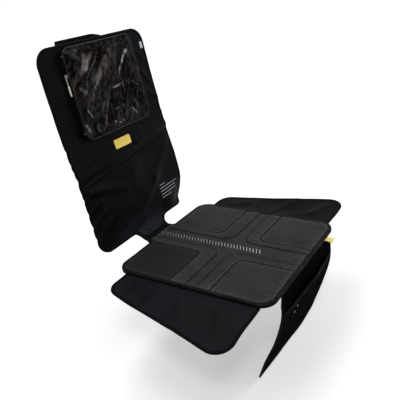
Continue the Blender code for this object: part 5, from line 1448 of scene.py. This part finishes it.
def standAt(thing, right, up, back, place):
    # Puts a lamp or a camera at its place with its own three ways; it looks against its back.
    turned = np.eye(4)
    turned[:3] = np.stack([right, up, back, place], axis=1)
    thing.matrix_world = Matrix(turned.tolist())
    bpy.context.scene.collection.objects.link(thing)


sockets = {"Roughness": 0.9, "Specular IOR Level": 0.0, "Emission Color": studio["white"]}
floorFinish, shader = startFinish("paleFloor", studio["floorColour"], sockets)
# The floor's own light grows outwards, where the lamps reach it less, so that it meets the sky without an edge.
place = addNode(floorFinish, "ShaderNodeTexCoord", {}).outputs["Object"]
away = addNode(floorFinish, "ShaderNodeVectorMath", {0: place}, operation="LENGTH").outputs["Value"]
spread = {"Value": away, "From Min": studio["liftFrom"], "From Max": studio["liftTo"], "To Min": studio["nearLift"],
          "To Max": studio["farLift"]}
lift = addNode(floorFinish, "ShaderNodeMapRange", spread, interpolation_type="SMOOTHSTEP").outputs[0]
feedShader(floorFinish, shader, {"Emission Strength": maths(floorFinish, "MULTIPLY", seenRays(floorFinish), lift)})
mesh = bpy.data.meshes.new("floor")
reach = np.array([(-1, -1), (1, -1), (1, 1), (-1, 1)]) * studio["floorHalf"]
mesh.from_pydata([(x, y, studio["floor"]) for x, y in reach], [], [(0, 1, 2, 3)])
mesh.materials.append(floorFinish)
floor = bpy.data.objects.new("floor", mesh)
bpy.context.scene.collection.objects.link(floor)

world = bpy.data.worlds.new("studio")
world.use_nodes = True
bpy.context.scene.world = world
sky = world.node_tree.nodes["Background"]
sky.inputs["Color"].default_value = studio["white"]
strength = maths(world, "MULTIPLY_ADD", seenRays(world), 1.0 - studio["ambient"], studio["ambient"])
world.node_tree.links.new(strength, sky.inputs["Strength"])

# Each lamp: where it stands, what it looks at, its width, height and power.
lamps = {"overhead": ((-0.2, 0.5, 2.2), (0.0, 0.05, 0.1), 1.5, 1.0, 22.0),
         "key": ((-1.7, -1.1, 2.0), (0.0, 0.0, 0.1), 0.40, 0.40, 15.0),
         "rightSoft": ((1.6, -1.4, 1.2), (0.0, 0.1, 0.2), 0.7, 0.6, 10.0)}
for name, (place, target, width, height, power) in lamps.items():
    light = bpy.data.lights.new(name, "AREA")
    light.shape = "RECTANGLE"
    light.size, light.size_y, light.energy = width, height, power
    lamp = bpy.data.objects.new(name, light)
    back = unit(np.array(place) - np.array(target))
    side = unit(np.cross([0.0, 0.0, 1.0], back))
    standAt(lamp, side, np.cross(back, side), back, place)

eye = {"azimuth": -55.7522, "elevation": 23.4502, "roll": -6.4831, "place": (-1.1431, -0.7043, 0.7419), "lens": 47.51,
       "film": 36.0, "near": 0.01, "far": 100.0}
azimuth, elevation, roll = (math.radians(eye[key]) for key in ("azimuth", "elevation", "roll"))
back = np.array([math.sin(azimuth) * math.cos(elevation), -math.cos(azimuth) * math.cos(elevation),
                 math.sin(elevation)])
right = np.array([math.cos(azimuth), math.sin(azimuth), 0.0])
up = np.cross(back, right)
lens = bpy.data.cameras.new("camera")
lens.lens, lens.sensor_width, lens.clip_start, lens.clip_end = (eye[key] for key in ("lens", "film", "near", "far"))
camera = bpy.data.objects.new("camera", lens)
standAt(camera, right * math.cos(roll) + up * math.sin(roll), up * math.cos(roll) - right * math.sin(roll), back,
        eye["place"])
bpy.context.scene.camera = camera
bpy.context.scene.view_settings.view_transform = "Standard"
